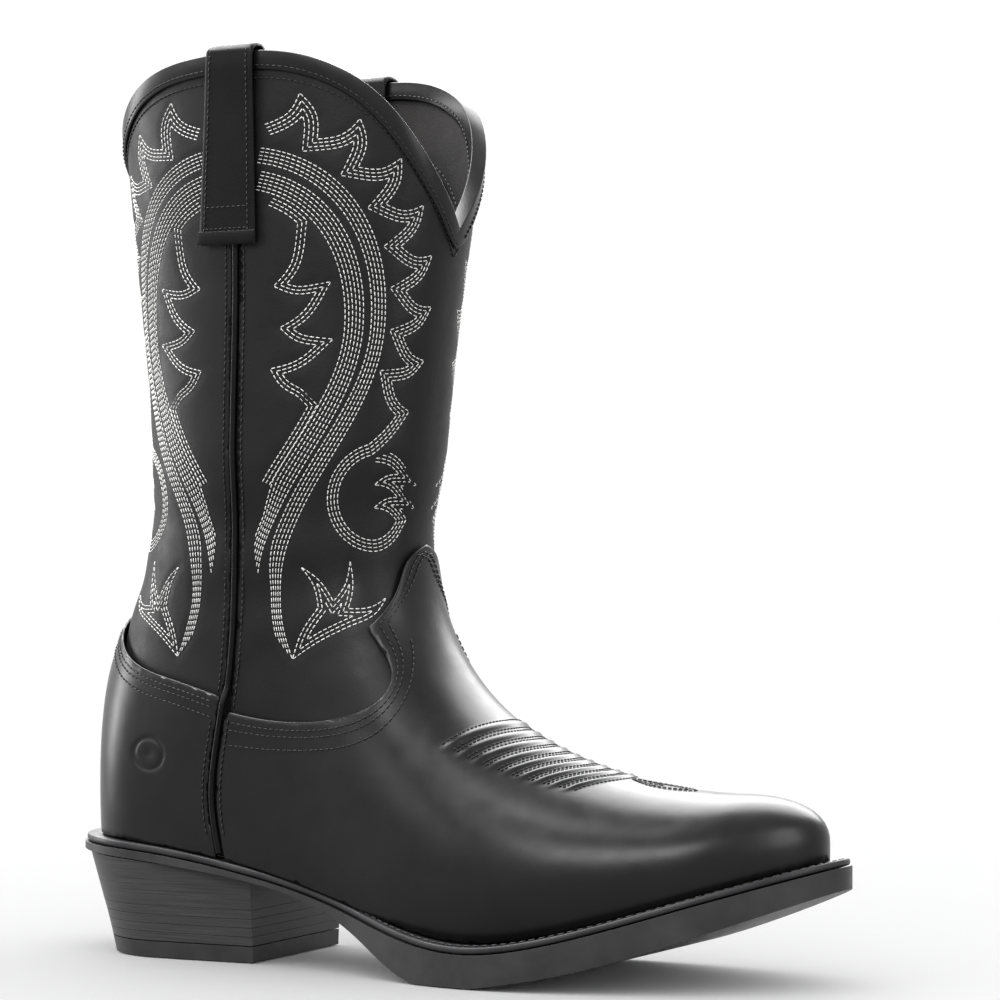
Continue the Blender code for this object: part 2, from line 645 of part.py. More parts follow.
def ring_of(angles):
    """Top edge points, outward normals and directions up the wall, all round the top line."""
    def edge(a):
        return wall_point(a, top_line(np.abs((a + 180) % 360 - 180)))

    p = edge(angles)
    outward = normal_at(p)
    along = edge(angles + 0.5) - edge(angles - 0.5)
    up = np.cross(along, outward)
    up = up / np.linalg.norm(up, axis=1, keepdims=True)
    up = up * np.where(up[:, 2:] < 0, -1, 1)
    return p, outward, up


def binding():
    p, outward, up = ring_of(np.linspace(0, 360, 64, endpoint=False))
    out, inn = 0.5, -(LINING_DEPTH + FACING_SINK + LEATHER + 0.5)
    low, top, t = -BINDING_LEG, 0.35, BINDING_T
    section = [(out, low), (out + t, low), (out + t, top + 0.3), (out + 0.3, top + t), (inn - 0.3, top + t),
               (inn - t, top + 0.3), (inn - t, low), (inn, low), (inn, top), (out, top)]
    sections = [[tuple(c + a * n + b * u) for a, b in section] for c, n, u in zip(p, outward, up)]
    swept("topline_binding", sections, "vamp_leather", closed=True)


def facing():
    """The leather band inside the top of the shaft."""
    angles = np.linspace(0, 360, 64, endpoint=False)
    from_front_ = np.abs((angles + 180) % 360 - 180)
    top, low = top_line(from_front_), facing_foot(from_front_)
    share = np.linspace(0, 1, 3)[:, None]
    z = top + (low - top) * share
    p = wall_point(np.broadcast_to(angles, z.shape), z)
    p = p - normal_at(p) * (LINING_DEPTH + FACING_SINK)
    bm = grid_mesh(p, close_u=True)
    bmesh.ops.recalc_face_normals(bm, faces=bm.faces)
    bm.normal_update()
    face = next(iter(bm.faces))
    middle = face.calc_center_median()
    if face.normal.x * (middle.x - 46) + face.normal.y * middle.y < 0:
        bmesh.ops.reverse_faces(bm, faces=bm.faces)
    solidify(finish_object("shaft_facing", bm, "lining_leather"), LEATHER)


def pull_strap(name, side):
    """A folded loop over the top of a side seam."""
    turn = np.linspace(0, np.pi, 9)
    half, rise, middle, spring = 4.85, 2.5, -1.45, TOP_SIDE_Z + 0.9
    outer = [(3.4, 332), (2.9, 320), (2.6, 300), (2.5, 285), (2.5, STRAP_FOOT_Z)][::-1]
    inner = [(-6.2, 332), (-5.6, 320), (-5.0, 305), (-4.9, STRAP_INSIDE_Z)]
    path = outer + [(middle + half * math.cos(a), spring + rise * math.sin(a)) for a in turn] + inner
    path = np.array(path)
    along = np.gradient(path, axis=0)
    away = np.stack([along[:, 1], -along[:, 0]], -1) / np.linalg.norm(along, axis=1, keepdims=True)
    sections = []
    for share in np.linspace(0, 1, 5):
        skins = []
        for way in (1, -1):
            o, z = (path + way * away * STRAP_T / 2).T
            back, front = [e + t * (z - TOP_SIDE_Z) for e, t in zip(STRAP_EDGES, STRAP_TAPER)]
            x = back + (front - back) * share + (STRAP_SHIFT_MEDIAL if side < 0 else 0)
            base_z = np.minimum(z, spring)
            start = np.stack([x, 0 * x, base_z], -1)
            p = surface_along(start, np.broadcast_to([0.0, -side, 0.0], start.shape))
            skins.append(p + normal_at(p) * o[:, None] + np.stack([0 * z, 0 * z, z - base_z], -1))
        sections.append([tuple(q) for q in np.concatenate([skins[0], skins[1][::-1]])])
    swept(name, sections, "shaft_leather", sharp=50)


def vamp_outline(top, lift, gap, step):
    """The vamp's edge on the foot chart: over the instep, down the side seams and along the feather."""
    top = np.array(top, float)
    rim = upper_loop(lift)
    sides = []
    for side in (1, -1):
        z = np.linspace(top[-1, 1] - 3, 40, 14)
        seam = wall_point(side * degrees_at(seam_u(z, -gap)), z)
        seam = seam[seam[:, 2] > feather_z(seam[:, 0]) + lift + 1.5]
        edge = rim[(rim[:, 0] > seam[-1, 0] + 2) & ((rim[:, 1] < swing(rim[:, 0])) == (side > 0))]
        edge = edge[np.argsort(edge[:, 0])]
        corner = plan_ray(seam[-1:, 0], -90.0 * side, lift)
        plain = evenly(foot_chart(np.concatenate([seam, corner, edge])), step)
        sides.append(np.concatenate([foot_chart(wall_point(side * top[:, 0], top[:, 1])), plain]))
    return np.concatenate([sides[0][:-1], sides[1][:0:-1]])


def upper_parts():
    grid = dict(spacing=9.5, stretch=(1.0, 1.45))
    foot_grid = dict(spacing=9.0, stretch=(1.25, 0.85))
    panel_depth = lambda p: shaft_drop(p[:, 2])
    lining_depth = lambda p: LINING_DEPTH + shaft_drop(p[:, 2])
    top = lambda u: top_line(from_front(u))
    under_facing = lambda u: facing_foot(from_front(u)) - 1.2
    lap = lambda u: lap_line(from_front(u))
    heel_lap = lambda u: counter_top(from_front(u)) - 8
    foot = lambda u: foot_line(u, LIFT)

    sheet("front_shaft_panel", wall, wall_outline(*front_edges(SEAM_GAP), top, lap), depth=panel_depth,
          thickness=LEATHER, slot="shaft_leather", **grid)
    sheet("back_shaft_panel", wall, wall_outline(*back_edges(SEAM_GAP), top, heel_lap), depth=panel_depth,
          thickness=LEATHER, slot="shaft_leather", **grid)
    sheet("front_lining", wall, wall_outline(*front_edges(0.8), under_facing, lap), depth=lining_depth,
          thickness=LINING, slot="lining_leather", **grid)
    sheet("back_lining", wall, wall_outline(*back_edges(0.8), under_facing, foot), depth=lining_depth,
          thickness=LINING, slot="lining_leather", **grid)
    counter = lambda u: counter_top(from_front(u))
    sheet("counter_cover", wall, wall_outline(*back_edges(SEAM_GAP), counter, foot), depth=0.0,
          thickness=LEATHER, slot="vamp_leather", **grid)
    ends = (lambda z: chart_u(104) + 0 * z), (lambda z: chart_u(256) + 0 * z)
    sheet("counter_stiffener", wall, wall_outline(*ends, lambda u: stiffener_top(from_front(u)), foot),
          depth=STIFFENER_DEPTH, thickness=STIFFENER_T, slot="stiffener", **grid)

    edge = np.concatenate([curve(TONGUE_SIDE, 8), curve(VAMP_HOLLOW, 13)[1:]])
    sheet("vamp", foot_point, vamp_outline(edge, LIFT, SEAM_GAP, 8.0), depth=0.0, thickness=LEATHER,
          slot="vamp_leather", **foot_grid)
    q = np.linspace(0, 84, 18)
    hidden = np.stack([np.maximum(q - 0.9, 0), lap_line(q) - 1.3], -1)
    sheet("vamp_lining", foot_point, vamp_outline(hidden, LIFT, 0.8, 9.0), depth=FOOT_LINING_DEPTH,
          thickness=LINING, slot="lining_leather", **foot_grid)
    rim = upper_loop(LIFT)
    rim = foot_chart(rim[rim[:, 0] > 208])
    bow = np.cos(np.linspace(-np.pi, np.pi, 20))
    back = np.stack([CHART_END + 6 + 6 * bow, np.linspace(rim[-1, 1], rim[0, 1], 20)], -1)
    sheet("toe_puff", foot_point, evenly(np.concatenate([rim, back[1:-1], rim[:1]]), 8.0)[:-1],
          depth=STIFFENER_DEPTH, thickness=STIFFENER_T, slot="stiffener", **foot_grid)


def build():
    for obj in list(bpy.data.objects):
        bpy.data.objects.remove(obj)
    welt_parts()
    outsole, board = sole_parts()
    heel_solids = heel_parts()
    nails(heel_solids + [outsole], board)
    upper_parts()
    piping("side_piping_lateral", 1)
    piping("side_piping_medial", -1)
    binding()
    facing()
    pull_strap("pull_strap_lateral", 1)
    pull_strap("pull_strap_medial", -1)


build()
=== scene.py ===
"""The looks of the pull-on western boot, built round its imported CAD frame.

Lengths are millimetres until a mesh is made. The surface functions repeat the part's own, so that every fine
leather piece lies where its CAD solid does. +X runs to the toe, +Z up, and the lateral side faces -Y.
"""
import math

import bmesh
import bpy
import numpy as np
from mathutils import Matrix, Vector
from mathutils.geometry import delaunay_2d_cdt
from mathutils.kdtree import KDTree


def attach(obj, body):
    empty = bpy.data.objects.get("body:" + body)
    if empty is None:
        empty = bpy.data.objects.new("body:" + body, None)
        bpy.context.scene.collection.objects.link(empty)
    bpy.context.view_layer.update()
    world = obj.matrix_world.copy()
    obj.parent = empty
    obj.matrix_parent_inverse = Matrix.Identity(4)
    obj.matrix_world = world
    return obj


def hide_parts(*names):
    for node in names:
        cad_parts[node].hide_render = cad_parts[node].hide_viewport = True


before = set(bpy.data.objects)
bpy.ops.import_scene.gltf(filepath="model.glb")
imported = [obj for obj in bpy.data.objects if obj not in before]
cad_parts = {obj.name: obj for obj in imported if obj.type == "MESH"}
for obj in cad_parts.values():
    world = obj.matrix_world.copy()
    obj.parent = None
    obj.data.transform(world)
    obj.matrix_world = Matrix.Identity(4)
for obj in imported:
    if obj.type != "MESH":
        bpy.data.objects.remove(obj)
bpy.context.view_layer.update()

MM = 0.001


# Driving dimensions of the upper
TOE_X = 259.5            # tip of the upper
HEEL_X = -41.0           # back of the upper
TOP_SIDE_Z = 340.0       # top line at the pull straps
LEATHER = 1.2            # thickness of each upper leather
LINING = 1.0
LAYER_GAP = 0.5          # air left between two layers of the upper
LAP_DROP = 2.4           # how far the shaft dips to pass under the vamp
LINING_DEPTH = LEATHER + LAYER_GAP
FOOT_LINING_DEPTH = LINING_DEPTH + LAP_DROP
FACING_SINK = 0.35       # the facing stands this much deeper than the lining
BLEND = 28.0             # width of the blend between foot and shaft
WIDEST_SHARE = 0.30      # height of the widest level, as a share of the foot's height
SECTION_HALF_ROUND = 38.0
SHAFT_HALF_ROUND = 48.0

# Driving dimensions of the sole and heel
WELT_T = 2.4
WELT_INSET = 9.0         # how far the welt reaches in under the upper
PLATE_GAP = 0.4
SOLE_TOE_X = 267.5
SOLE_HEEL_X = -49.5
BREAST_X = 41.5
BALL_FLAT = (128.0, 146.0)   # the sole is flat on the ground between these
HEEL_TURN = math.radians(3.0)    # the heel's axis points outwards from the boot's
TOP_LIFT_T = 6.0
LIFT_T = 3.0
LIFT_COUNT = 4
HEEL_FLARE_Z = 44.0      # height at which the heel is 3.4 mm wider on each side

# Upper details
PIPING_R = 1.2
SEAM_GAP = PIPING_R + 0.5
STRAP_T = 2.0
STRAP_EDGES = (38.8, 58.5)   # x of the lateral strap's two edges where it crosses the top line
STRAP_TAPER = (0.10, 0.03)   # how far each edge moves back for a millimetre down
STRAP_SHIFT_MEDIAL = -3.5
STRAP_FOOT_Z = 270.0
STRAP_INSIDE_Z = 292.0
BINDING_T = 0.8
BINDING_LEG = 6.0
LIFT = 0.6               # air between the upper's edge and the welt


def spline(knots):
    """A natural cubic curve through (x, y) knots, straight beyond its ends."""
    x, y = np.array(knots, float).T
    n, h = len(x), np.diff(x)
    a, r = np.eye(n), np.zeros(n)
    for i in range(1, n - 1):
        a[i, i - 1:i + 2] = h[i - 1], 2 * (h[i - 1] + h[i]), h[i]
        r[i] = 6 * ((y[i + 1] - y[i]) / h[i] - (y[i] - y[i - 1]) / h[i - 1])
    m = np.linalg.solve(a, r)
    first = (y[1] - y[0]) / h[0] - h[0] * m[1] / 6
    last = (y[-1] - y[-2]) / h[-1] + h[-1] * m[-2] / 6

    def value(q):
        q = np.asarray(q, float)
        i = np.clip(np.searchsorted(x, q) - 1, 0, n - 2)
        u, v, w = x[i + 1] - q, q - x[i], h[i]
        inside = (m[i] * u**3 + m[i + 1] * v**3) / (6 * w)
        inside = inside + (y[i] / w - m[i] * w / 6) * u + (y[i + 1] / w - m[i + 1] * w / 6) * v
        low, high = y[0] + first * (q - x[0]), y[-1] + last * (q - x[-1])
        return np.where(q < x[0], low, np.where(q > x[-1], high, inside))

    return value


# Profiles along the foot, by x
swing = spline([(-40, 2), (0, 0), (60, -3), (130, -4), (190, 2), (262, 12)])
half_lateral = spline([(-40, 33), (0, 34), (50, 34), (100, 40), (140, 46.5), (175, 46.5), (210, 40),
                       (240, 31), (262, 24)])
half_medial = spline([(-40, 33), (0, 33), (50, 30), (100, 37), (140, 47), (170, 47.5), (210, 40),
                      (240, 31), (262, 24)])
feather_z = spline([(-45, 45), (0, 42.5), (40, 37), (75, 29), (110, 19.5), (145, 14.5), (180, 19.5),
                    (225, 33), (265, 45.5)])
ridge_z = spline([(-40, 110), (40, 150), (80, 150), (100, 127.5), (120, 106), (150, 85), (180, 74),
                  (215, 68.5), (262, 69)])
sole_lateral = spline([(-45, 37), (0, 37.5), (40, 36.5), (65, 34.5), (88, 36.5), (115, 45), (145, 52),
                       (178, 51.5), (215, 43.5), (245, 34), (268, 27)])
sole_medial = spline([(-45, 37), (0, 37), (40, 34.5), (65, 31), (88, 32.5), (115, 42), (145, 51.5),
                      (178, 52), (215, 43.5), (245, 34), (268, 27)])
# Thickness of the sole: thin through the waist, thickest at the ball
sole_drop = spline([(-46, 5.5), (20, 5.5), (75, 5.5), (95, 9), (112, 14), (128, 16.5), (146, 15), (198, 14.5),
                    (268, 11)])
# Profiles up the shaft, by z
shaft_centre = spline([(40, 37), (100, 35), (137, 37), (175, 42), (252, 44.5), (310, 46), (345, 46.5)])
shaft_half_x = spline([(40, 76), (80, 74), (110, 70), (137, 64), (175, 60), (252, 66), (310, 73.5),
                       (345, 78)])
shaft_half_y = spline([(40, 33), (80, 35), (110, 38), (137, 40.5), (175, 43), (252, 47), (310, 51),
                       (345, 53)])
heel_back = spline([(0, -34), (20, -39.5), (34, -45), (46, -49.5)])
seam_x = spline([(42, 31.5), (62, 29), (85, 32), (110, 36.5), (150, 40), (210, 43), (266, 46), (340, 46)])
# Lines round the shaft, by degrees from the front
top_line = spline([(0, 275), (16, 298.5), (32, 321), (50, 334.5), (75, 340), (105, 339), (140, 330),
                   (165, 311), (180, 300)])
facing_foot = spline([(0, 246), (20, 266), (40, 292), (60, 307), (90, 312), (120, 308), (150, 292),
                      (180, 276)])
counter_top = spline([(94, 101), (125, 107), (150, 115), (165, 125), (180, 133)])
lap_line = spline([(0, 148), (6, 146), (11, 140.5), (15, 130.5), (18, 118), (20, 106.5), (23, 97.5),
                   (28, 91.5), (35, 87.5), (45, 85.5), (60, 85.5), (75, 86.5), (95, 88)])
# The vamp's edge in (degrees, height): down the tongue's side to the pleat, then round a hollow to the seam
TONGUE_SIDE = [(0, 158), (10, 153), (16, 142), (28, 127)]
VAMP_HOLLOW = [(28, 127), (24, 112), (34, 96), (54, 92), (86.5, 95)]


def cap(x, start, end, power):
    """1 up to start, then a rounded end that reaches 0 at end."""
    q = np.clip((x - start) / (end - start), 0, 1)
    return np.maximum(1 - q**power, 0)**(1 / power)


def foot_field(p):
    """Below 0 inside the foot of the boot, and near its distance from the surface."""
    x, y, z = p[..., 0], p[..., 1] - swing(p[..., 0]), p[..., 2]
    plan = cap(x, TOE_X - 42, TOE_X, 2.1) * cap(-x, -HEEL_X - 34, -HEEL_X, 2.2)
    half = np.maximum(np.where(y < 0, half_lateral(x), half_medial(x)) * plan, 1e-2)
    widest = feather_z(x) + WIDEST_SHARE * (ridge_z(x) - feather_z(x))
    above = np.maximum((ridge_z(x) - widest) * cap(x, TOE_X - 30, TOE_X, 2.3), 1e-3)
    below = np.maximum((widest - feather_z(x)) * 1.9 + 2, 1e-2)
    side, up = np.abs(y) / half, z - widest
    over = (side**2.1 + (np.abs(up) / above)**2.1)**(1 / 2.1)
    under = (side**2.6 + (np.abs(up) / below)**2.6)**(1 / 2.6)
    return (np.where(up > 0, over, under) - 1) * SECTION_HALF_ROUND


def shaft_field(p):
    x, y, z = p[..., 0], p[..., 1], p[..., 2]
    across = (np.abs(x - shaft_centre(z)) / shaft_half_x(z))**2.15 + (np.abs(y) / shaft_half_y(z))**2.15
    return (across**(1 / 2.15) - 1) * SHAFT_HALF_ROUND


def boot_field(p):
    foot, shaft = foot_field(p), shaft_field(p)
    meet = np.maximum(BLEND - np.abs(foot - shaft), 0) / BLEND
    return np.minimum(foot, shaft) - meet**3 * BLEND / 6


def normal_at(p):
    step = 0.05 * np.eye(3)
    g = np.stack([boot_field(p + s) - boot_field(p - s) for s in step], -1)
    return g / np.linalg.norm(g, axis=-1, keepdims=True)


def surface_along(start, direction, reach=300.0):
    """Where rays from inside the boot leave it."""
    low, high = np.zeros(start.shape[:-1]), np.full(start.shape[:-1], reach)
    for _ in range(36):
        middle = (low + high) / 2
        inside = boot_field(start + direction * middle[..., None]) < 0
        low, high = np.where(inside, middle, low), np.where(inside, high, middle)
    return start + direction * high[..., None]


def wall_point(angle, z):
    """The surface at an angle round the shaft (degrees from the front, lateral positive) and a height."""
    angle, z = np.broadcast_arrays(np.radians(angle), np.asarray(z, float))
    start = np.stack([shaft_centre(z), 0 * z, z], -1)
    return surface_along(start, np.stack([np.cos(angle), -np.sin(angle), 0 * z], -1))


def seam_angle(z):
    """The angle at which the lateral side seam stands at a height."""
    middle = np.stack([seam_x(z), 0 * z, z], -1)
    side = surface_along(middle, np.broadcast_to([0.0, -1.0, 0.0], z.shape + (3,)))
    return np.degrees(np.arctan2(-side[..., 1], side[..., 0] - shaft_centre(z)))


# The foot is charted by planes that fan from level to upright about a line ahead of the ankle. Ahead of
# CHART_END_X the chart turns into rays that leave one point inside the toe
FAN_X, FAN_Z, FAN_R = 128.0, 195.0, 110.0
FAN_LENGTH = FAN_R * math.pi / 2
CHART_END_X = 205.0
CHART_END = FAN_LENGTH + CHART_END_X - FAN_X
CHART_R = 41.0


def foot_middle(x):
    return feather_z(x) + 0.42 * (ridge_z(x) - feather_z(x))


def fan_plane(s):
    """Centre of the section at s along the boot, and the direction in it towards the ridge."""
    turn = np.clip(s, 0, FAN_LENGTH) / FAN_R
    foot_x = FAN_X + np.clip(s - FAN_LENGTH, 0, CHART_END_X - FAN_X)
    reach_level = FAN_X - shaft_centre(FAN_Z)
    reach_upright = FAN_Z - foot_middle(FAN_X)
    reach = reach_level + (reach_upright - reach_level) * (0.5 - 0.5 * np.cos(2 * turn))
    x = np.where(s > FAN_LENGTH, foot_x, FAN_X - reach * np.cos(turn))
    z = np.where(s > FAN_LENGTH, foot_middle(foot_x), FAN_Z - reach * np.sin(turn))
    y = swing(x) * np.clip(s / FAN_LENGTH, 0, 1)
    return np.stack([x, y, z], -1), np.stack([np.cos(turn), 0 * x, np.sin(turn)], -1)


def foot_point(s, w):
    """The surface at s along the boot and w across it (lateral positive), both about millimetres."""
    s, w = np.asarray(s, float), np.asarray(w, float)
    centre, ridge = fan_plane(s)
    ahead = np.maximum(s - CHART_END, 0)
    lean, round_ = np.hypot(ahead, w) / CHART_R, np.arctan2(w, ahead)
    across = np.where(s > CHART_END, np.sin(lean) * np.sin(round_), np.sin(w / CHART_R))
    upright = np.where(s > CHART_END, np.cos(lean), np.cos(w / CHART_R))
    forward = np.where(s > CHART_END, np.sin(lean) * np.cos(round_), 0.0)
    way = ridge * upright[..., None] - across[..., None] * np.array([0.0, 1.0, 0.0])
    return surface_along(centre, way + forward[..., None] * np.array([1.0, 0.0, 0.0]))


def foot_chart(p):
    """The (s, w) of points on the foot."""
    x, z = p[..., 0], p[..., 2]
    s = np.where(x > FAN_X, FAN_LENGTH + x - FAN_X, FAN_R * np.arctan2(FAN_Z - z, FAN_X - x))
    centre, ridge = fan_plane(s)
    rel = p - centre
    w = CHART_R * np.arctan2(-rel[..., 1], (rel * ridge).sum(-1))
    lean = CHART_R * np.arctan2(np.hypot(rel[..., 0], rel[..., 1]), rel[..., 2])
    round_ = np.arctan2(-rel[..., 1], rel[..., 0])
    toe = x > CHART_END_X
    s, w = np.where(toe, CHART_END + lean * np.cos(round_), s), np.where(toe, lean * np.sin(round_), w)
    return np.stack([s, w], -1)


def smooth_step(q):
    q = np.clip(q, 0, 1)
    return q * q * (3 - 2 * q)


def shaft_drop(z):
    """How far the shaft's layers stand inside the foot's, so that the vamp laps over them."""
    return LAP_DROP * smooth_step((196 - z) / 34)


def evenly(points, step):
    """A polyline sampled again at about step."""
    points = np.array(points, float)
    along = np.concatenate([[0], np.cumsum(np.linalg.norm(np.diff(points, axis=0), axis=1))])
    count = max(2, int(round(along[-1] / step)) + 1)
    at = np.linspace(0, along[-1], count)
    return np.stack([np.interp(at, along, c) for c in points.T], -1)


def curve(points, count):
    """A smooth curve through a few points of a plane, as evenly spaced points."""
    points = np.array(points, float)
    along = np.concatenate([[0], np.cumsum(np.linalg.norm(np.diff(points, axis=0), axis=1))])
    at = np.linspace(0, along[-1], count)
    return np.stack([spline(np.stack([along, c], -1))(at) for c in points.T], -1)


# The wall chart: u goes round the shaft from the front (lateral positive) and v is the height. It is
# stretched at the front and back, where the wall turns most, so that an even net follows it everywhere
ROUND = 0.95             # mean chart millimetres for a degree
ROUND_SWING = 0.38       # share by which that grows at the front and back


def chart_u(degrees):
    return ROUND * (degrees + ROUND_SWING * np.degrees(np.sin(2 * np.radians(degrees))) / 2)


def degrees_at(u):
    table = np.linspace(-200, 400, 2401)
    return np.interp(u, chart_u(table), table)


def wall(u, v):
    return wall_point(degrees_at(u), v)


def from_front(u):
    """Degrees from the front, 0 to 180 on either side."""
    return np.abs((degrees_at(u) + 180) % 360 - 180)


def wall_outline(left, right, top, bottom, step=10.0):
    """A polygon on the wall chart between two lines given by height and two lines given by u."""
    def corner(edge, line):
        z = 100.0
        for _ in range(12):
            z = float(line(edge(np.array(z))))
        return z

    def across(line, low, high):
        kinks = [k for k in (0.0, float(chart_u(180))) if low < k < high]
        ends = [low] + kinks + [high]
        runs = [np.linspace(a, b, 61) for a, b in zip(ends, ends[1:])]
        runs = [evenly(np.stack([u, line(u)], -1), step) for u in runs]
        return np.concatenate([r[:-1] for r in runs] + [runs[-1][-1:]])

    def along(edge, low, high):
        z = np.linspace(low, high, 60)
        return evenly(np.stack([edge(z), z], -1), step * 1.4)

    foot = [corner(e, bottom) for e in (left, right)]
    head = [corner(e, top) for e in (left, right)]
    sides = [across(bottom, left(foot[0]), right(foot[1]))[:-1], along(right, foot[1], head[1])[:-1],
             across(top, left(head[0]), right(head[1]))[:0:-1], along(left, foot[0], head[0])[:0:-1]]
    return np.concatenate(sides)


def seam_u(z, gap):
    """The lateral seam on the wall chart, moved round towards the back by a gap."""
    z = np.asarray(z, float)
    angle = seam_angle(z)
    p = wall_point(angle, z)
    return chart_u(angle + np.degrees(gap / np.hypot(p[..., 0] - shaft_centre(z), p[..., 1])))


def front_edges(gap):
    return (lambda z: -seam_u(z, -gap)), (lambda z: seam_u(z, -gap))


def back_edges(gap):
    return (lambda z: seam_u(z, gap)), (lambda z: chart_u(360) - seam_u(z, gap))


def foot_line(u, lift):
    """Height of the feather line, plus a lift, at places round the heel."""
    z = 45 + 0 * np.asarray(u, float)
    for _ in range(12):
        z = feather_z(wall(u, z)[..., 0]) + lift
    return z


def plan_ray(x, angle, lift):
    """Where a ray in the feather surface, from the middle of the foot at x, leaves the upper."""
    x, angle = np.broadcast_arrays(np.asarray(x, float), np.radians(angle))
    low, high = 0 * x, 0 * x + 160
    for _ in range(36):
        r = (low + high) / 2
        px, py = x + r * np.cos(angle), swing(x) + r * np.sin(angle)
        inside = boot_field(np.stack([px, py, feather_z(px) + lift], -1)) < 0
        low, high = np.where(inside, r, low), np.where(inside, high, r)
    px, py = x + high * np.cos(angle), swing(x) + high * np.sin(angle)
    return np.stack([px, py, feather_z(px) + lift], -1)


def upper_loop(lift=0.0):
    """The upper's edge on the feather surface, from the heel's back round the lateral side."""
    heel, toe = np.linspace(0, 90, 18), np.linspace(-90, 90, 44)
    x = np.linspace(0, 215, 50)[1:-1]
    return np.concatenate([plan_ray(0, 180 + heel, lift), plan_ray(x, -90, lift), plan_ray(215, toe, lift),
                           plan_ray(x[::-1], 90, lift), plan_ray(0, 90 + heel[:-1], lift)])


def sole_loop():
    """The edge of the sole, in the same order."""
    t = np.linspace(0, 2 * np.pi, 400, endpoint=False)
    x = (SOLE_TOE_X + SOLE_HEEL_X) / 2 - (SOLE_TOE_X - SOLE_HEEL_X) / 2 * np.cos(t)
    plan = cap(x, SOLE_TOE_X - 46, SOLE_TOE_X, 2.1) * cap(-x, -SOLE_HEEL_X - 37, -SOLE_HEEL_X, 2.1)
    return np.stack([x, swing(x) + np.where(t < np.pi, -sole_lateral(x), sole_medial(x)) * plan], -1)


def inset(loop, distance, count=72):
    """A closed loop moved inwards and sampled evenly."""
    closed = evenly(np.concatenate([loop[:, :2], loop[:1, :2]]), 1.5)[:-1]
    along = np.roll(closed, -1, axis=0) - np.roll(closed, 1, axis=0)
    along = along / np.linalg.norm(along, axis=1, keepdims=True)
    moved = closed + distance * np.stack([-along[:, 1], along[:, 0]], -1)
    moved = np.concatenate([moved, moved[:1]])
    length = np.concatenate([[0], np.cumsum(np.linalg.norm(np.diff(moved, axis=0), axis=1))])
    at = np.linspace(0, length[-1], count, endpoint=False)
    return np.stack([np.interp(at, length, c) for c in moved.T], -1)


def rows_of(loop, count=40, x_from=None, also=()):
    """Rows (x, lateral y, medial y) across a loop, closer together towards its round ends."""
    i, j = loop[:, 0].argmin(), loop[:, 0].argmax()
    ring = np.roll(loop, -i, axis=0)
    k = (j - i) % len(loop)
    chains = ring[:k + 1], np.concatenate([ring[k:], ring[:1]])[::-1]
    part = np.arange(count + 1) / count
    share = 0.5 - 0.5 * np.cos(np.pi * part) if x_from is None else np.sin(np.pi / 2 * part)
    start = chains[0][0, 0] if x_from is None else x_from
    x = np.union1d(start + (chains[0][-1, 0] - start) * share, also)
    y = [np.interp(x, c[:, 0], c[:, 1]) for c in chains]
    return np.stack([x, np.minimum(*y), np.maximum(*y)], -1)


def constant(z):
    return lambda x: z


def above_feather(lift):
    return lambda x: feather_z(x) + lift


def sole_bottom(x):
    return np.maximum(feather_z(x) - sole_drop(x), 0.0)


def heel_rows(z, count=16):
    """The heel's outline at a height, with a straight front edge."""
    back, half = float(heel_back(z)), 33.8 + 3.4 * z / HEEL_FLARE_Z
    x = BREAST_X - (BREAST_X - back) * np.sin(np.pi / 2 * np.arange(count + 1) / count)
    y = half * cap(-x, -back - half, -back, 2.05) * (1 - 0.02 * smooth_step((x - 5) / 40))
    return np.stack([x, -y, y], -1)


def seam_path(side, top, bottom, count):
    """Points down a side seam, with the outward normals there."""
    z = np.linspace(top, bottom, count)
    p = wall_point(side * seam_angle(z), z)
    return p, normal_at(p), z


def ring_of(angles):
    """Top edge points, outward normals and directions up the wall, all round the top line."""
    def edge(a):
        return wall_point(a, top_line(np.abs((a + 180) % 360 - 180)))

    p = edge(angles)
    outward = normal_at(p)
    along = edge(angles + 0.5) - edge(angles - 0.5)
    up = np.cross(along, outward)
    up = up / np.linalg.norm(up, axis=1, keepdims=True)
    up = up * np.where(up[:, 2:] < 0, -1, 1)
    return p, outward, up


def vamp_outline(top, lift, gap, step):
    """The vamp's edge on the foot chart: over the instep, down the side seams and along the feather."""
    top = np.array(top, float)
    rim = upper_loop(lift)
    sides = []
    for side in (1, -1):
        z = np.linspace(top[-1, 1] - 3, 40, 14)
        seam = wall_point(side * degrees_at(seam_u(z, -gap)), z)
        seam = seam[seam[:, 2] > feather_z(seam[:, 0]) + lift + 1.5]
        edge = rim[(rim[:, 0] > seam[-1, 0] + 2) & ((rim[:, 1] < swing(rim[:, 0])) == (side > 0))]
        edge = edge[np.argsort(edge[:, 0])]
        corner = plan_ray(seam[-1:, 0], -90.0 * side, lift)
        plain = evenly(foot_chart(np.concatenate([seam, corner, edge])), step)
        sides.append(np.concatenate([foot_chart(wall_point(side * top[:, 0], top[:, 1])), plain]))
    return np.concatenate([sides[0][:-1], sides[1][:0:-1]])


# Meshes

def finish_object(name, bm, look, sharp_degrees=40):
    bmesh.ops.scale(bm, vec=(MM, MM, MM), verts=bm.verts)
    mesh = bpy.data.meshes.new(name)
    bm.to_mesh(mesh)
    bm.free()
    mesh.shade_smooth()
    mesh.set_sharp_from_angle(angle=math.radians(sharp_degrees))
    mesh.materials.append(look)
    made = bpy.data.objects.new(name, mesh)
    bpy.context.scene.collection.objects.link(made)
    return made


def take_place(obj, *nodes, slot=None):
    """The object moves with the boot and stands for these CAD nodes."""
    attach(obj, "root")
    if nodes:
        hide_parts(*nodes)
    return obj


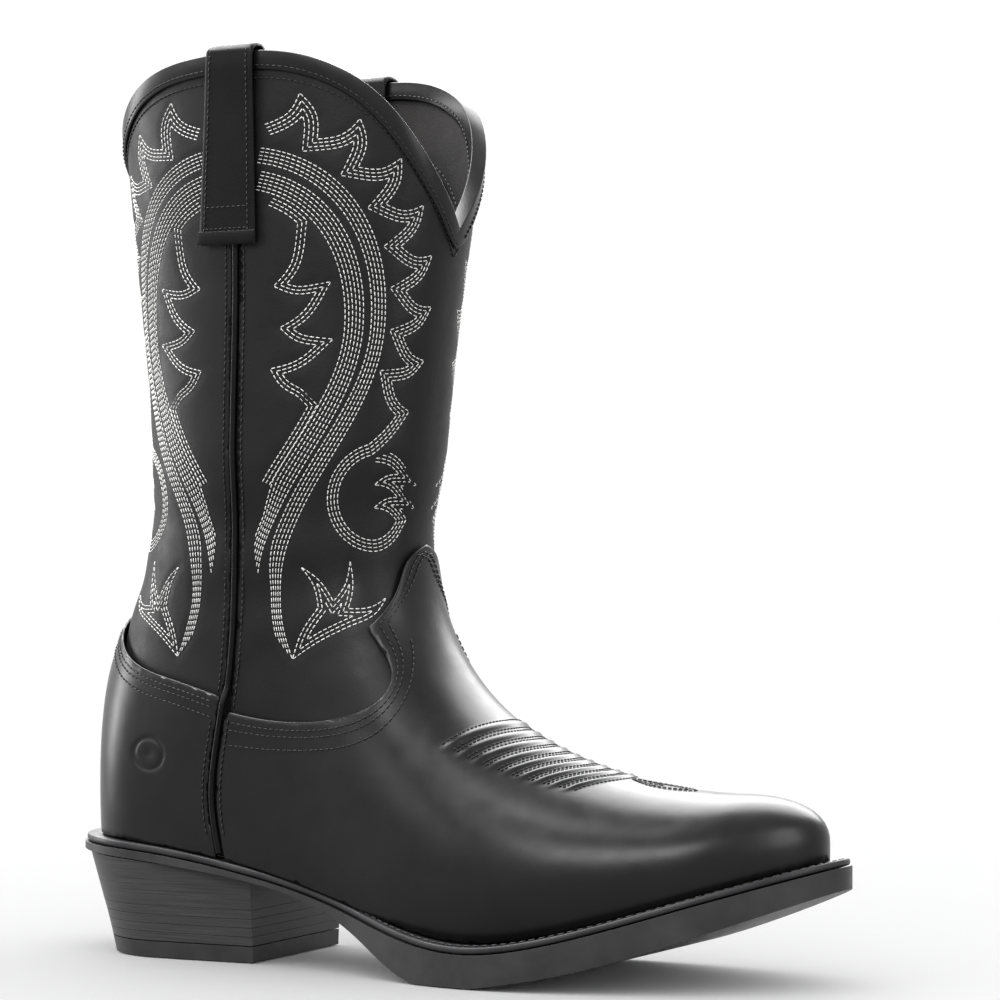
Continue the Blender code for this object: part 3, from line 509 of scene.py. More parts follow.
def inside_polygon(q, polygon):
    """Whether points q lie in a polygon, and how far they are from its edge."""
    inside, gap = np.zeros(len(q), bool), np.zeros(len(q))
    a, b = polygon, np.roll(polygon, -1, axis=0)
    for part in range(0, len(q), 2000):
        p = q[part:part + 2000]
        x, y = p[:, None, 0], p[:, None, 1]
        crosses = (a[:, 1] > y) != (b[:, 1] > y)
        at = a[:, 0] + (y - a[:, 1]) * (b - a)[:, 0] / np.where(crosses, (b - a)[:, 1], 1)
        inside[part:part + 2000] = (crosses & (x < at)).sum(1) % 2 == 1
        d, e = p[:, None] - a, b - a
        along = np.clip((d * e).sum(-1) / (e * e).sum(-1), 0, 1)
        gap[part:part + 2000] = np.linalg.norm(d - along[..., None] * e, axis=-1).min(1)
    return inside, gap


def edge_rings(outline, distances):
    """Points just inside an outline, where a leather edge rounds over."""
    along = np.roll(outline, -1, axis=0) - np.roll(outline, 1, axis=0)
    across = np.stack([-along[:, 1], along[:, 0]], -1) / np.linalg.norm(along, axis=1, keepdims=True)
    rings = [outline + way * d * across for d in distances for way in (1, -1)]
    return np.concatenate(rings)


EDGE_ROUND = 0.8         # how far in a leather edge rounds over


def leather_sheet(name, chart, outline, spacing, depth, thickness, look, relief=None, extra=None):
    """A leather piece with rounded edges: the part of a chart inside an outline, depth below the surface.

    relief gives how far chart points stand out from the plain leather, and extra adds net points for detail.
    """
    outline = np.array(outline)
    low, high = outline.min(0), outline.max(0)
    axes = [spacing * np.arange(math.ceil(a / spacing), b / spacing) for a, b in zip(low, high)]
    net = np.stack(np.meshgrid(*axes, indexing="ij"), -1).reshape(-1, 2)
    if extra is not None:
        box_low, box_high = extra.min(0), extra.max(0)
        clear = ((net < box_low - 0.3) | (net > box_high + 0.3)).any(1)
        net = np.concatenate([net[clear], extra])
    inside, gap = inside_polygon(net, outline)
    net = net[inside & (gap > EDGE_ROUND + 0.3)]
    rings = edge_rings(outline, (0.3, EDGE_ROUND))
    inside, gap = inside_polygon(rings, outline)
    net = np.concatenate([net, rings[inside & (gap > 0.24)]])
    flat = [Vector(q) for q in np.concatenate([outline, net])]
    flat, _, faces, _, _, _ = delaunay_2d_cdt(flat, [], [list(range(len(outline)))], 1, 1e-5)
    q = np.array([tuple(v) for v in flat])
    points = chart(q[:, 0], q[:, 1])
    sunk = depth(points) if callable(depth) else np.full(len(points), float(depth))
    _, gap = inside_polygon(q, outline)
    lean = np.clip(1 - gap / EDGE_ROUND, 0, 1)
    sunk = sunk + 0.45 * (1 - np.sqrt(1 - 0.98 * lean**2))
    if relief is not None:
        sunk = sunk - relief(q, points) * smooth_step(gap / 1.5)
    outward = normal_at(points)
    points = points - outward * sunk[:, None]
    bm = bmesh.new()
    verts = [bm.verts.new(p) for p in points]
    for face in faces:
        made = bm.faces.new([verts[i] for i in face])
        made.normal_update()
        if made.normal.dot(Vector(outward[face[0]])) < 0:
            made.normal_flip()
    obj = finish_object(name, bm, look, 60)
    modifier = obj.modifiers.new("thickness", "SOLIDIFY")
    modifier.thickness, modifier.offset = thickness * MM, -1
    return obj


# Stitches

STITCH_SIDES = 5


def stitch_rows(name, rows, look, length=2.1, gap=0.35, radius=0.24, rise=0.06):
    """Threads laid along rows of (points, outward normals), as one mesh of small capsules."""
    starts, ends, ups = [], [], []
    for points, outward in rows:
        along = np.concatenate([[0], np.cumsum(np.linalg.norm(np.diff(points, axis=0), axis=1))])
        count = max(1, int(round(along[-1] / (length + gap))))
        at = np.linspace(0, along[-1], count + 1)
        cut = np.stack([np.interp(at, along, c) for c in points.T], -1)
        up = np.stack([np.interp((at[1:] + at[:-1]) / 2, along, c) for c in outward.T], -1)
        share = gap / (length + gap) / 2
        step = cut[1:] - cut[:-1]
        starts.append(cut[:-1] + share * step)
        ends.append(cut[1:] - share * step)
        ups.append(up / np.linalg.norm(up, axis=1, keepdims=True))
    start, end, up = (np.concatenate(v) for v in (starts, ends, ups))
    way = end - start
    way = way / np.linalg.norm(way, axis=1, keepdims=True)
    side = np.cross(way, up)
    side = side / np.linalg.norm(side, axis=1, keepdims=True)
    turn = 2 * np.pi * np.arange(STITCH_SIDES) / STITCH_SIDES
    verts = []
    for share, size, lift in ((0.0, 0.35, -0.5), (0.18, 1.0, 0.6), (0.82, 1.0, 0.6), (1.0, 0.35, -0.5)):
        middle = start + share * (end - start) + up * (rise + lift * radius)
        ring = [middle + size * radius * (math.cos(a) * side + math.sin(a) * up) for a in turn]
        verts.append(np.stack(ring, 1))
    verts = np.stack(verts, 1)
    n, k = len(start), STITCH_SIDES
    base = (np.arange(n) * 4 * k)[:, None]
    quads = [[r * k + i, r * k + (i + 1) % k, (r + 1) * k + (i + 1) % k, (r + 1) * k + i]
             for r in range(3) for i in range(k)]
    quads = (base[:, :, None] + np.array(quads)[None]).reshape(-1, 4)
    caps = [list(range(k))[::-1], [3 * k + i for i in range(k)]]
    caps = (base[:, :, None] + np.array(caps)[None]).reshape(-1, k)
    mesh = bpy.data.meshes.new(name)
    mesh.from_pydata((verts.reshape(-1, 3) * MM).tolist(), [], quads.tolist() + caps.tolist())
    mesh.shade_smooth()
    mesh.materials.append(look)
    mesh.update()
    made = bpy.data.objects.new(name, mesh)
    bpy.context.scene.collection.objects.link(made)
    return made


def on_surface(points, sunk):
    """A stitch row that follows surface points, sunk below them."""
    outward = normal_at(points)
    return points - outward * np.broadcast_to(sunk, points.shape[:1])[:, None], outward


# Looks. Each is a node material with its colour, gloss and relief made from noise in the boot's own space

class Nodes:
    """A material being made: its nodes, links and shader."""

    def __init__(self, name, roughness=0.5, metallic=0.0, **sockets):
        self.made = bpy.data.materials.new(name)
        self.made.use_nodes = True
        self.tree = self.made.node_tree
        self.shader = self.tree.nodes["Principled BSDF"]
        self.shader.inputs["Roughness"].default_value = roughness
        self.shader.inputs["Metallic"].default_value = metallic
        for socket, value in sockets.items():
            self.shader.inputs[socket.replace("_", " ")].default_value = value
        self.place = self.tree.nodes.new("ShaderNodeTexCoord").outputs["Object"]
        self.last_bump = None

    def link(self, a, b):
        self.tree.links.new(a, b)

    def stretched(self, scale):
        mapping = self.tree.nodes.new("ShaderNodeMapping")
        mapping.inputs["Scale"].default_value = scale
        self.link(self.place, mapping.inputs["Vector"])
        return mapping.outputs["Vector"]

    def noise(self, scale, detail=3.0, roughness=0.5, vector=None):
        node = self.tree.nodes.new("ShaderNodeTexNoise")
        node.inputs["Scale"].default_value = scale
        node.inputs["Detail"].default_value = detail
        node.inputs["Roughness"].default_value = roughness
        self.link(vector or self.place, node.inputs["Vector"])
        return node.outputs["Fac"]

    def cells(self, scale, feature="F1"):
        node = self.tree.nodes.new("ShaderNodeTexVoronoi")
        node.feature = feature
        node.inputs["Scale"].default_value = scale
        self.link(self.place, node.inputs["Vector"])
        return node.outputs["Distance"]

    def ramp(self, value, stops):
        node = self.tree.nodes.new("ShaderNodeValToRGB")
        elements = node.color_ramp.elements
        while len(elements) < len(stops):
            elements.new(0.5)
        for element, (at, colour) in zip(elements, stops):
            element.position = at
            element.color = (*colour, 1)
        self.link(value, node.inputs["Fac"])
        return node.outputs["Color"]

    def colour(self, value, low, high, start=0.3, end=0.7):
        self.link(self.ramp(value, [(start, low), (end, high)]), self.shader.inputs["Base Color"])

    def gloss(self, value, low, high):
        node = self.tree.nodes.new("ShaderNodeMapRange")
        node.inputs["From Min"].default_value, node.inputs["From Max"].default_value = 0.3, 0.7
        node.inputs["To Min"].default_value, node.inputs["To Max"].default_value = low, high
        self.link(value, node.inputs["Value"])
        self.link(node.outputs["Result"], self.shader.inputs["Roughness"])

    def relief(self, value, depth_mm, strength=1.0):
        node = self.tree.nodes.new("ShaderNodeBump")
        node.inputs["Strength"].default_value = strength
        node.inputs["Distance"].default_value = depth_mm * MM
        self.link(value, node.inputs["Height"])
        if self.last_bump:
            self.link(self.last_bump, node.inputs["Normal"])
        self.last_bump = node.outputs["Normal"]
        self.link(self.last_bump, self.shader.inputs["Normal"])


def leather(name, dark, light, gloss, grain_mm, grain_depth, specular=0.16):
    """Dyed leather: pebbled grain, soft tone changes and a gloss that varies a little."""
    look = Nodes(name, Specular_IOR_Level=specular)
    tone = look.noise(45, 4)
    look.colour(tone, dark, light)
    look.gloss(look.noise(130, 5, 0.6), *gloss)
    look.relief(look.noise(70, 2), 0.5, 0.25)
    look.relief(look.cells(1000 / grain_mm), grain_depth, 0.6)
    look.relief(look.noise(2600 / grain_mm, 2), grain_depth * 0.5, 0.4)
    return look.made


def thread(name, dark, light, roughness):
    look = Nodes(name, roughness, Specular_IOR_Level=0.3)
    look.colour(look.noise(700, 2), dark, light)
    look.relief(look.noise(4200, 1), 0.05, 0.5)
    return look.made


def rubber():
    look = Nodes("sole_rubber_look", Specular_IOR_Level=0.22)
    look.colour(look.noise(60, 4), (0.012, 0.012, 0.0125), (0.021, 0.021, 0.0215))
    look.gloss(look.noise(240, 4), 0.36, 0.5)
    look.relief(look.noise(900, 3), 0.06, 0.5)
    return look.made


def stacked():
    """Heel lifts: thin leather layers, dyed and burnished, so faint level lines run round them."""
    look = Nodes("stacked_leather_look", Specular_IOR_Level=0.22)
    layers = look.noise(1.0, 3, 0.6, look.stretched((30, 30, 1500)))
    look.colour(layers, (0.015, 0.015, 0.0155), (0.030, 0.030, 0.031))
    look.gloss(layers, 0.34, 0.48)
    look.relief(layers, 0.10, 0.7)
    look.relief(look.noise(600, 3), 0.05, 0.4)
    return look.made


def plain_board(name, dark, light, scale, depth):
    look = Nodes(name, 0.85)
    look.colour(look.noise(scale, 5, 0.65), dark, light)
    look.relief(look.noise(scale * 4, 4), depth, 0.7)
    return look.made


def cork():
    look = Nodes("cork_look", 0.9)
    look.colour(look.cells(420), (0.18, 0.10, 0.05), (0.46, 0.30, 0.16), 0.1, 0.6)
    look.relief(look.cells(420), 0.3, 0.8)
    return look.made


def steel():
    look = Nodes("steel_look", 0.3, 1.0)
    look.colour(look.noise(80, 3), (0.42, 0.42, 0.43), (0.60, 0.60, 0.61))
    look.gloss(look.noise(1.0, 3, 0.6, look.stretched((60, 900, 900))), 0.25, 0.42)
    return look.made


VAMP_LOOK = leather("vamp_leather_look", (0.0012, 0.0012, 0.0014), (0.0028, 0.0028, 0.0031), (0.28, 0.36),
                    0.55, 0.02, specular=0.22)
SHAFT_LOOK = leather("shaft_leather_look", (0.0015, 0.0015, 0.0017), (0.0035, 0.0035, 0.0038), (0.42, 0.54),
                     0.7, 0.05)
STRAP_LOOK = leather("strap_leather_look", (0.001, 0.001, 0.0012), (0.0026, 0.0026, 0.0029), (0.38, 0.50),
                     0.7, 0.06, specular=0.09)
LINING_LOOK = leather("lining_leather_look", (0.005, 0.0045, 0.0045), (0.010, 0.009, 0.0088), (0.6, 0.8),
                      0.9, 0.08)
WELT_LOOK = leather("welt_leather_look", (0.010, 0.010, 0.011), (0.022, 0.022, 0.023), (0.34, 0.48),
                    0.8, 0.05)
WHITE_THREAD = thread("white_thread_look", (0.30, 0.30, 0.295), (0.52, 0.52, 0.51), 0.5)
BLACK_THREAD = thread("black_thread_look", (0.002, 0.002, 0.0022), (0.006, 0.006, 0.0065), 0.5)
RUBBER_LOOK = rubber()
STACKED_LOOK = stacked()
BOARD_LOOK = plain_board("insole_board_look", (0.33, 0.23, 0.14), (0.50, 0.37, 0.25), 300, 0.12)
FOAM_LOOK = plain_board("footbed_foam_look", (0.045, 0.042, 0.040), (0.075, 0.070, 0.066), 420, 0.2)
STIFFENER_LOOK = plain_board("stiffener_look", (0.48, 0.44, 0.36), (0.66, 0.62, 0.53), 500, 0.15)
CORK_LOOK = cork()
STEEL_LOOK = steel()


def dress(node, look):
    """Gives a CAD node that is already right a finished material."""
    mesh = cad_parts[node].data
    mesh.materials.clear()
    mesh.materials.append(look)


# Lines on the panels. A motif is drawn once, as (distance from the side seam, height), and used four times

def smooth_path(*runs, step=0.8):
    """One line through smooth runs that meet at corners."""
    pieces = []
    for run in runs:
        length = np.linalg.norm(np.diff(np.array(run, float), axis=0), axis=1).sum()
        pieces.append(curve(run, max(4, int(length / step))))
    return np.concatenate([p[:-1] for p in pieces[:-1]] + [pieces[-1]])


def gap_to_path(q, path):
    a, b = path[:-1], path[1:]
    d, e = q[:, None] - a, b - a
    along = np.clip((d * e).sum(-1) / np.maximum((e * e).sum(-1), 1e-9), 0, 1)
    return np.linalg.norm(d - along[..., None] * e, axis=-1).min(1)


def beside(path, distance, taper=0.0):
    """A line beside another, with mitred corners.

    Over the last share of its length, taper, it draws closer and ends early.
    """
    step = np.diff(path, axis=0)
    step = step / np.maximum(np.linalg.norm(step, axis=1, keepdims=True), 1e-9)
    left = np.stack([-step[:, 1], step[:, 0]], -1)
    before, after = np.concatenate([left[:1], left]), np.concatenate([left, left[-1:]])
    middle = before + after
    middle = middle / np.maximum(np.linalg.norm(middle, axis=1, keepdims=True), 1e-6)
    mitre = 1 / np.clip((middle * before).sum(1), 0.28, 1)
    share = np.linspace(1, 0, len(path)) / taper if taper else np.ones(len(path))
    size = distance * np.clip(share, 0.6, 1)
    moved = path + (size * mitre)[:, None] * middle
    kept = gap_to_path(moved, path) > 0.96 * np.abs(size)
    if taper:
        kept &= np.arange(len(path)) < len(path) - 2.4 * abs(distance)
    return moved[kept]


def split_at_corners(path, limit=math.radians(34)):
    step = np.diff(path, axis=0)
    way = np.arctan2(step[:, 1], step[:, 0])
    turn = np.abs((np.diff(way) + np.pi) % (2 * np.pi) - np.pi)
    cuts = [0] + [i + 1 for i in np.flatnonzero(turn > limit)] + [len(path) - 1]
    return [path[a:b + 1] for a, b in zip(cuts, cuts[1:]) if b - a >= 1]


def bowed(a, b, bow):
    """A run from a to b that bows to its left."""
    a, b = np.array(a, float), np.array(b, float)
    left = np.array([-(b - a)[1], (b - a)[0]]) / np.linalg.norm(b - a)
    return [a, (a + b) / 2 + bow * left, b]


ROW_PITCH = 1.35
# Rows of stitches in the vine, the band, the line inside the band, and the inner flames and leaves
VINE_ROWS, BAND_ROWS, INNER_BAND_ROWS, TONGUE_ROWS = 4, 5, 6, 3
SHORTEST_RUN = 4.2       # shorter runs of stitches are left out
BAND_TOP = 306.0         # the main band: its height at the seam,
BAND_REACH = 52.0        # how far from the seam it swings out,
BAND_REACH_Z = 238.0     # and where,
BAND_NECK = 17.0         # and how near it comes back
BAND_NECK_Z = 142.0
BAND_FOOT = 2.28         # where it ends, counted as band() counts
INNER_GAP = 8.5          # from the main band to the one inside it, and out to the foot of the flames
OUTER_FLAMES = 8
OUTER_LENGTH = 13.5
INNER_FLAMES = 3
INNER_LENGTH = 13.0
TAIL_GAP = 11.0          # from the inner band to the line of the inner flames
HOOK_CENTRE = (54.0, 175.5)
HOOK_R = 16.0
CURL_LENGTH = 12.0
LEAF_CENTRE = (37.0, 130.0)
LEAF_R = 7.0
LEAF_LENGTH = 16.0


def band(grow, start, end):
    """A sweep out from the seam and back in, moved out by grow.

    start and end count from 0 at the top. Up to 1 it is a quarter ellipse, and then a cosine that is
    nearest to the seam at 2.
    """
    t = np.linspace(start, end, 160)
    over = np.clip(t, 0, 1) * np.pi / 2
    under = np.maximum(t - 1, 0)
    reach, neck = BAND_REACH + grow, BAND_NECK + grow
    d = np.where(t < 1, reach * np.sin(over), neck + (reach - neck) * (0.5 + 0.5 * np.cos(np.pi * under)))
    z = BAND_REACH_Z + (BAND_TOP + grow - BAND_REACH_Z) * np.cos(over) - (BAND_REACH_Z - BAND_NECK_Z) * under
    return evenly(np.stack([d, z], -1), 0.8)


def arc(centre, radius, start, end):
    angle = np.radians(np.linspace(start, end, 61))
    return np.stack([centre[0] + radius * np.cos(angle), centre[1] + radius * np.sin(angle)], -1)


def flames(base, count, length, lean, bow):
    """Runs of flame tongues at even steps along a line, on its left where length is positive."""
    at = np.linspace(0, len(base) - 1, 2 * count + 1)
    point = lambda i: np.array([np.interp(i, np.arange(len(base)), base[:, k]) for k in (0, 1)])
    runs = []
    for i in range(count):
        low, middle, high = at[2 * i], at[2 * i + 1] + lean, at[2 * i + 2]
        way = point(middle + 1) - point(middle - 1)
        tip = point(middle) + length * np.array([-way[1], way[0]]) / np.linalg.norm(way)
        runs += [bowed(point(low), tip, -bow), bowed(tip, point(high), bow)]
    return runs


def vine():
    """Flames down the outside of the band, then a hook with a curl of flames inside it."""
    runs = flames(band(INNER_GAP, 0.1, 1.36), OUTER_FLAMES, OUTER_LENGTH, -2.5, 2.4)[:-1]
    tip, hook = runs[-1][-1], arc(HOOK_CENTRE, HOOK_R, 100, 280)
    runs += [[tip, (tip + hook[0]) / 2 + (0, -1.5), hook[0]], hook[::3]]
    rise = np.linspace(hook[-1] + (-2, 3), hook[-1] + (-4, 29), 61)
    curl = flames(rise, 3, -CURL_LENGTH, -3, -1.4)
    return smooth_path(*runs, bowed(hook[-1], curl[0][-1], -1.0), *curl[1:])


def inner_flames():
    """Flames towards the seam, with a tail that follows the inner band down."""
    line = -INNER_GAP - TAIL_GAP
    base = band(line - 5, 0.48, 1.26)
    return smooth_path(band(line, 0.2, 0.42)[::8], *flames(base, INNER_FLAMES, -INNER_LENGTH, 4, -1.8),
                       band(line, 1.3, 1.6)[::8])


def leaves():
    """A fan of leaves that grows from the foot of the band."""
    root = band(0, 1, BAND_FOOT)[-1]
    fan = flames(arc(LEAF_CENTRE, LEAF_R, 140, -10), 3, LEAF_LENGTH, -3, 1.6)
    return smooth_path(bowed(root, fan[0][0], 1.5), *fan, bowed(fan[-1][-1], root, -1.0))


def motif():
    """Every row of the embroidery."""
    rows = [beside(vine(), -ROW_PITCH * i) if i else vine() for i in range(VINE_ROWS)]
    bands = (band(0, 0.1, BAND_FOOT), BAND_ROWS), (band(-INNER_GAP, 0.12, 1.95), INNER_BAND_ROWS)
    for line, count in bands:
        rows += [line] + [beside(line, -ROW_PITCH * i, 0.2) for i in range(1, count)]
    for line, way in ((inner_flames(), 1), (leaves(), -1)):
        rows += [line] + [beside(line, way * ROW_PITCH * i) for i in range(1, TONGUE_ROWS)]
    runs = [run for row in rows if len(row) > 3 for run in split_at_corners(row)]
    return [run for run in runs if np.linalg.norm(np.diff(run, axis=0), axis=1).sum() > SHORTEST_RUN]


def panel_points(paths, side, face):
    """Surface points of motif lines on one of the four panel halves."""
    d, z = np.concatenate(paths).T
    seam = seam_u(z, 0.0)
    u = seam - d if face == "front" else seam + d
    if side < 0:
        u = -u if face == "front" else chart_u(360) - u
    return np.split(wall(u, z), np.cumsum([len(p) for p in paths])[:-1])


QUILT = 0.3              # how far the stitching pulls the leather in
GROOVE_WIDTH = 1.4


def ankle_folds(p):
    """Soft level wrinkles where the shaft bends."""
    x, y, z = p[:, 0], p[:, 1], p[:, 2]
    waves = np.sin(z / 4.6 + 1.3 * np.sin(x / 21) + y / 30) + 0.6 * np.sin(z / 7.7 - x / 26 + 2.0)
    return 0.36 * waves * np.exp(-((z - 138) / 30)**2)


def quilting(points_of_rows):
    """A relief that sinks the leather along stitched rows, given all their surface points."""
    tree = KDTree(len(points_of_rows))
    for i, p in enumerate(points_of_rows):
        tree.insert(p, i)
    tree.balance()

    def relief(q, p):
        gap = np.array([tree.find(v)[2] for v in p])
        return ankle_folds(p) - QUILT * np.exp(-(gap / GROOVE_WIDTH)**2)

    return relief


def panel_sink(p):
    return shaft_drop(p[:, 2]) + QUILT - ankle_folds(p)


def shaft():
    top = lambda u: top_line(from_front(u))
    lap = lambda u: lap_line(from_front(u))
    heel_lap = lambda u: counter_top(from_front(u)) - 8
    drop = lambda p: shaft_drop(p[:, 2])
    lines = motif()
    for face, edges, foot in (("front", front_edges, lap), ("back", back_edges, heel_lap)):
        rows = panel_points(lines, 1, face) + panel_points(lines, -1, face)
        joined = np.concatenate(rows)
        cuts = np.cumsum([len(p) for p in rows])[:-1]
        laid = list(zip(*(np.split(v, cuts) for v in on_surface(joined, panel_sink(joined)))))
        thread_rows = stitch_rows("embroidery_" + face, laid, WHITE_THREAD, length=1.75, gap=0.45,
                                  radius=0.2)
        take_place(thread_rows)
        relief = quilting(joined[::2])
        outline = wall_outline(*edges(SEAM_GAP), top, foot, 3.0)
        panel = leather_sheet(face + "_shaft_panel_leather", wall, outline, 1.7, drop, LEATHER, SHAFT_LOOK,
                              relief)
        take_place(panel, face + "_shaft_panel", slot="shaft_leather")


def seam_rows():
    """Black rows on both sides of both side seams, and round the top under the binding."""
    rows = []
    for side in (1, -1):
        for gap in (-4.0, 4.0):
            z = np.linspace(332, 102 if gap > 0 else 96, 320)
            u = seam_u(z, gap)
            p = wall_point(side * degrees_at(u), z)
            rows.append(on_surface(p, shaft_drop(z) - 0.05))
        z = np.linspace(92, 48, 70)
        for gap in (-4.0, 4.0):
            p = wall_point(side * degrees_at(seam_u(z, gap)), z)
            rows.append(on_surface(p, -0.05))
    angles = np.linspace(0, 360, 700)
    p = wall_point(angles, top_line(np.abs((angles + 180) % 360 - 180)) - 9.0)
    rows.append(on_surface(p, -0.05))
    take_place(stitch_rows("seam_stitching", rows, BLACK_THREAD, length=2.1, radius=0.26))


# The foot of the upper

BUG_START = 173.0        # where the first instep ridge meets the lateral side, along the foot chart
BUG_PITCH = 5.6
BUG_RIDGES = 9
BUG_HALF = 33.0
BUG_SWEEP = 11.0         # how much further forward a ridge is at the middle
BUG_RISE = 0.9
BUG_WIDTH = 1.35


def bug_line(i, w, offset=0.0):
    """Chart points along instep ridge i."""
    forward = BUG_SWEEP * np.cos(np.pi / 2 * w / BUG_HALF)
    return np.stack([BUG_START + BUG_PITCH * i + forward + offset, w], -1)


def vamp_relief(q, p):
    s, w = q.T
    base = (s - BUG_START - BUG_SWEEP * np.cos(np.pi / 2 * np.clip(w / BUG_HALF, -1, 1))) / BUG_PITCH
    near = np.clip(np.round(base), 0, BUG_RIDGES - 1)
    off = (base - near) * BUG_PITCH
    fade = smooth_step((BUG_HALF - np.abs(w)) / 8)
    ridges = BUG_RISE * np.exp(-(off / BUG_WIDTH)**2) * fade
    soft = 0.25 * np.sin(s / 17 + w / 23) * smooth_step((110 - s) / 40)
    return ridges + soft


def vamp_edge():
    return np.concatenate([curve(TONGUE_SIDE, 26), curve(VAMP_HOLLOW, 50)[1:]])


def vamp():
    end = BUG_START + BUG_PITCH * BUG_RIDGES + BUG_SWEEP
    axes = np.arange(BUG_START - 6, end + 6, 0.8), np.arange(-BUG_HALF - 2, BUG_HALF + 2, 1.0)
    detail = np.stack(np.meshgrid(*axes, indexing="ij"), -1).reshape(-1, 2)
    outline = vamp_outline(vamp_edge(), LIFT, SEAM_GAP, 2.5)
    piece = leather_sheet("vamp_leather", foot_point, outline, 1.9, 0.0, LEATHER, VAMP_LOOK, vamp_relief,
                          detail)
    take_place(piece, "vamp", slot="vamp_leather")


def bug_stitching():
    rows = []
    w = np.linspace(-BUG_HALF + 3, BUG_HALF - 3, 90)
    for i in range(BUG_RIDGES):
        for offset in (-2.1, 2.1):
            q = bug_line(i, w, offset)
            rows.append(on_surface(foot_point(q[:, 0], q[:, 1]), -0.08))
    front = BUG_START + BUG_SWEEP + BUG_PITCH * (BUG_RIDGES - 1) + 3
    share = np.linspace(0, 1, 60)
    for length, half in ((30, 9.0), (24, 6.5), (12, 3.0)):
        for side in (1, -1):
            w = side * half * np.sin(np.pi * share)**0.8
            rows.append(on_surface(foot_point(front + length * share, w), -0.08))
    take_place(stitch_rows("instep_stitching", rows, BLACK_THREAD, length=1.6, radius=0.22))


def edge_stitching():
    """Double rows just inside the vamp's and the counter's edges, with a second pair below."""
    rows = []
    edge = vamp_edge()
    outline = vamp_outline(edge, LIFT, SEAM_GAP, 4.0)
    for distance in (2.6, 4.6, 8.4):
        kept = edge[edge[:, 1] < 116] if distance > 8 else edge
        chart = foot_chart(wall_point(kept[:, 0], kept[:, 1]))
        for way in (1, -1):
            line = beside(chart, way * distance)
            inside, gap = inside_polygon(line, outline)
            line = line[inside & (gap > 2.2)]
            if len(line) > 8:
                for side in (1, -1):
                    rows.append(on_surface(foot_point(line[:, 0], side * line[:, 1]), -0.05))
    for lift in (3.0, 5.2, 9.0):
        start = float(seam_u(np.array(98.0), 5.0))
        u = np.linspace(start, chart_u(360) - start, 400)
        rows.append(on_surface(wall(u, counter_top(from_front(u)) - lift), -0.05))
    take_place(stitch_rows("edge_stitching", rows, BLACK_THREAD, length=2.1, radius=0.25))


EMBLEM_DEGREES = 135.0
EMBLEM_Z = 78.0
EMBLEM_R = 6.0


def emblem_relief(q, p):
    """A plain pressed ring with a dimple in it."""
    size = np.hypot(q[:, 0] - float(chart_u(EMBLEM_DEGREES)), q[:, 1] - EMBLEM_Z)
    return -0.4 * (np.exp(-((size - EMBLEM_R) / 0.9)**2) + np.exp(-(size / 2.0)**2))


def counter():
    foot = lambda u: foot_line(u, LIFT)
    top = lambda u: counter_top(from_front(u))
    centre = float(chart_u(EMBLEM_DEGREES))
    axes = np.arange(centre - 11, centre + 11, 0.6), np.arange(EMBLEM_Z - 13, EMBLEM_Z + 13, 0.6)
    detail = np.stack(np.meshgrid(*axes, indexing="ij"), -1).reshape(-1, 2)
    outline = wall_outline(*back_edges(SEAM_GAP), top, foot, 3.0)
    piece = leather_sheet("counter_leather", wall, outline, 1.9, 0.0, LEATHER, VAMP_LOOK, emblem_relief,
                          detail)
    take_place(piece, "counter_cover", slot="vamp_leather")


# Linings

def linings():
    under_facing = lambda u: facing_foot(from_front(u)) - 1.2
    lap = lambda u: lap_line(from_front(u))
    foot = lambda u: foot_line(u, LIFT)
    depth = lambda p: LINING_DEPTH + shaft_drop(p[:, 2])
    for face, edges, low in (("front", front_edges, lap), ("back", back_edges, foot)):
        outline = wall_outline(*edges(0.0), under_facing, low, 4.0)
        piece = leather_sheet(face + "_lining_leather", wall, outline, 4.0, depth, LINING, LINING_LOOK)
        take_place(piece, face + "_lining", slot="lining_leather")
    q = np.linspace(0, 84, 40)
    hidden = np.stack([np.maximum(q - 0.9, 0), lap_line(q) - 1.3], -1)
    piece = leather_sheet("vamp_lining_leather", foot_point, vamp_outline(hidden, LIFT, 0.8, 4.0), 4.0,
                          FOOT_LINING_DEPTH, LINING, LINING_LOOK)
    take_place(piece, "vamp_lining", slot="lining_leather")


def ring_solid(name, rings, look, closed=True, sharp=60):
    """A smooth solid through matching closed sections."""
    bm = bmesh.new()
    made = [[bm.verts.new(p) for p in ring] for ring in rings]
    pairs = list(zip(made, made[1:] + made[:1])) if closed else list(zip(made, made[1:]))
    for a, b in pairs:
        for i in range(len(a)):
            bm.faces.new((a[i], a[i - 1], b[i - 1], b[i]))
    if not closed:
        bm.faces.new(made[0])
        bm.faces.new(made[-1][::-1])
    bmesh.ops.recalc_face_normals(bm, faces=bm.faces)
    return finish_object(name, bm, look, sharp)


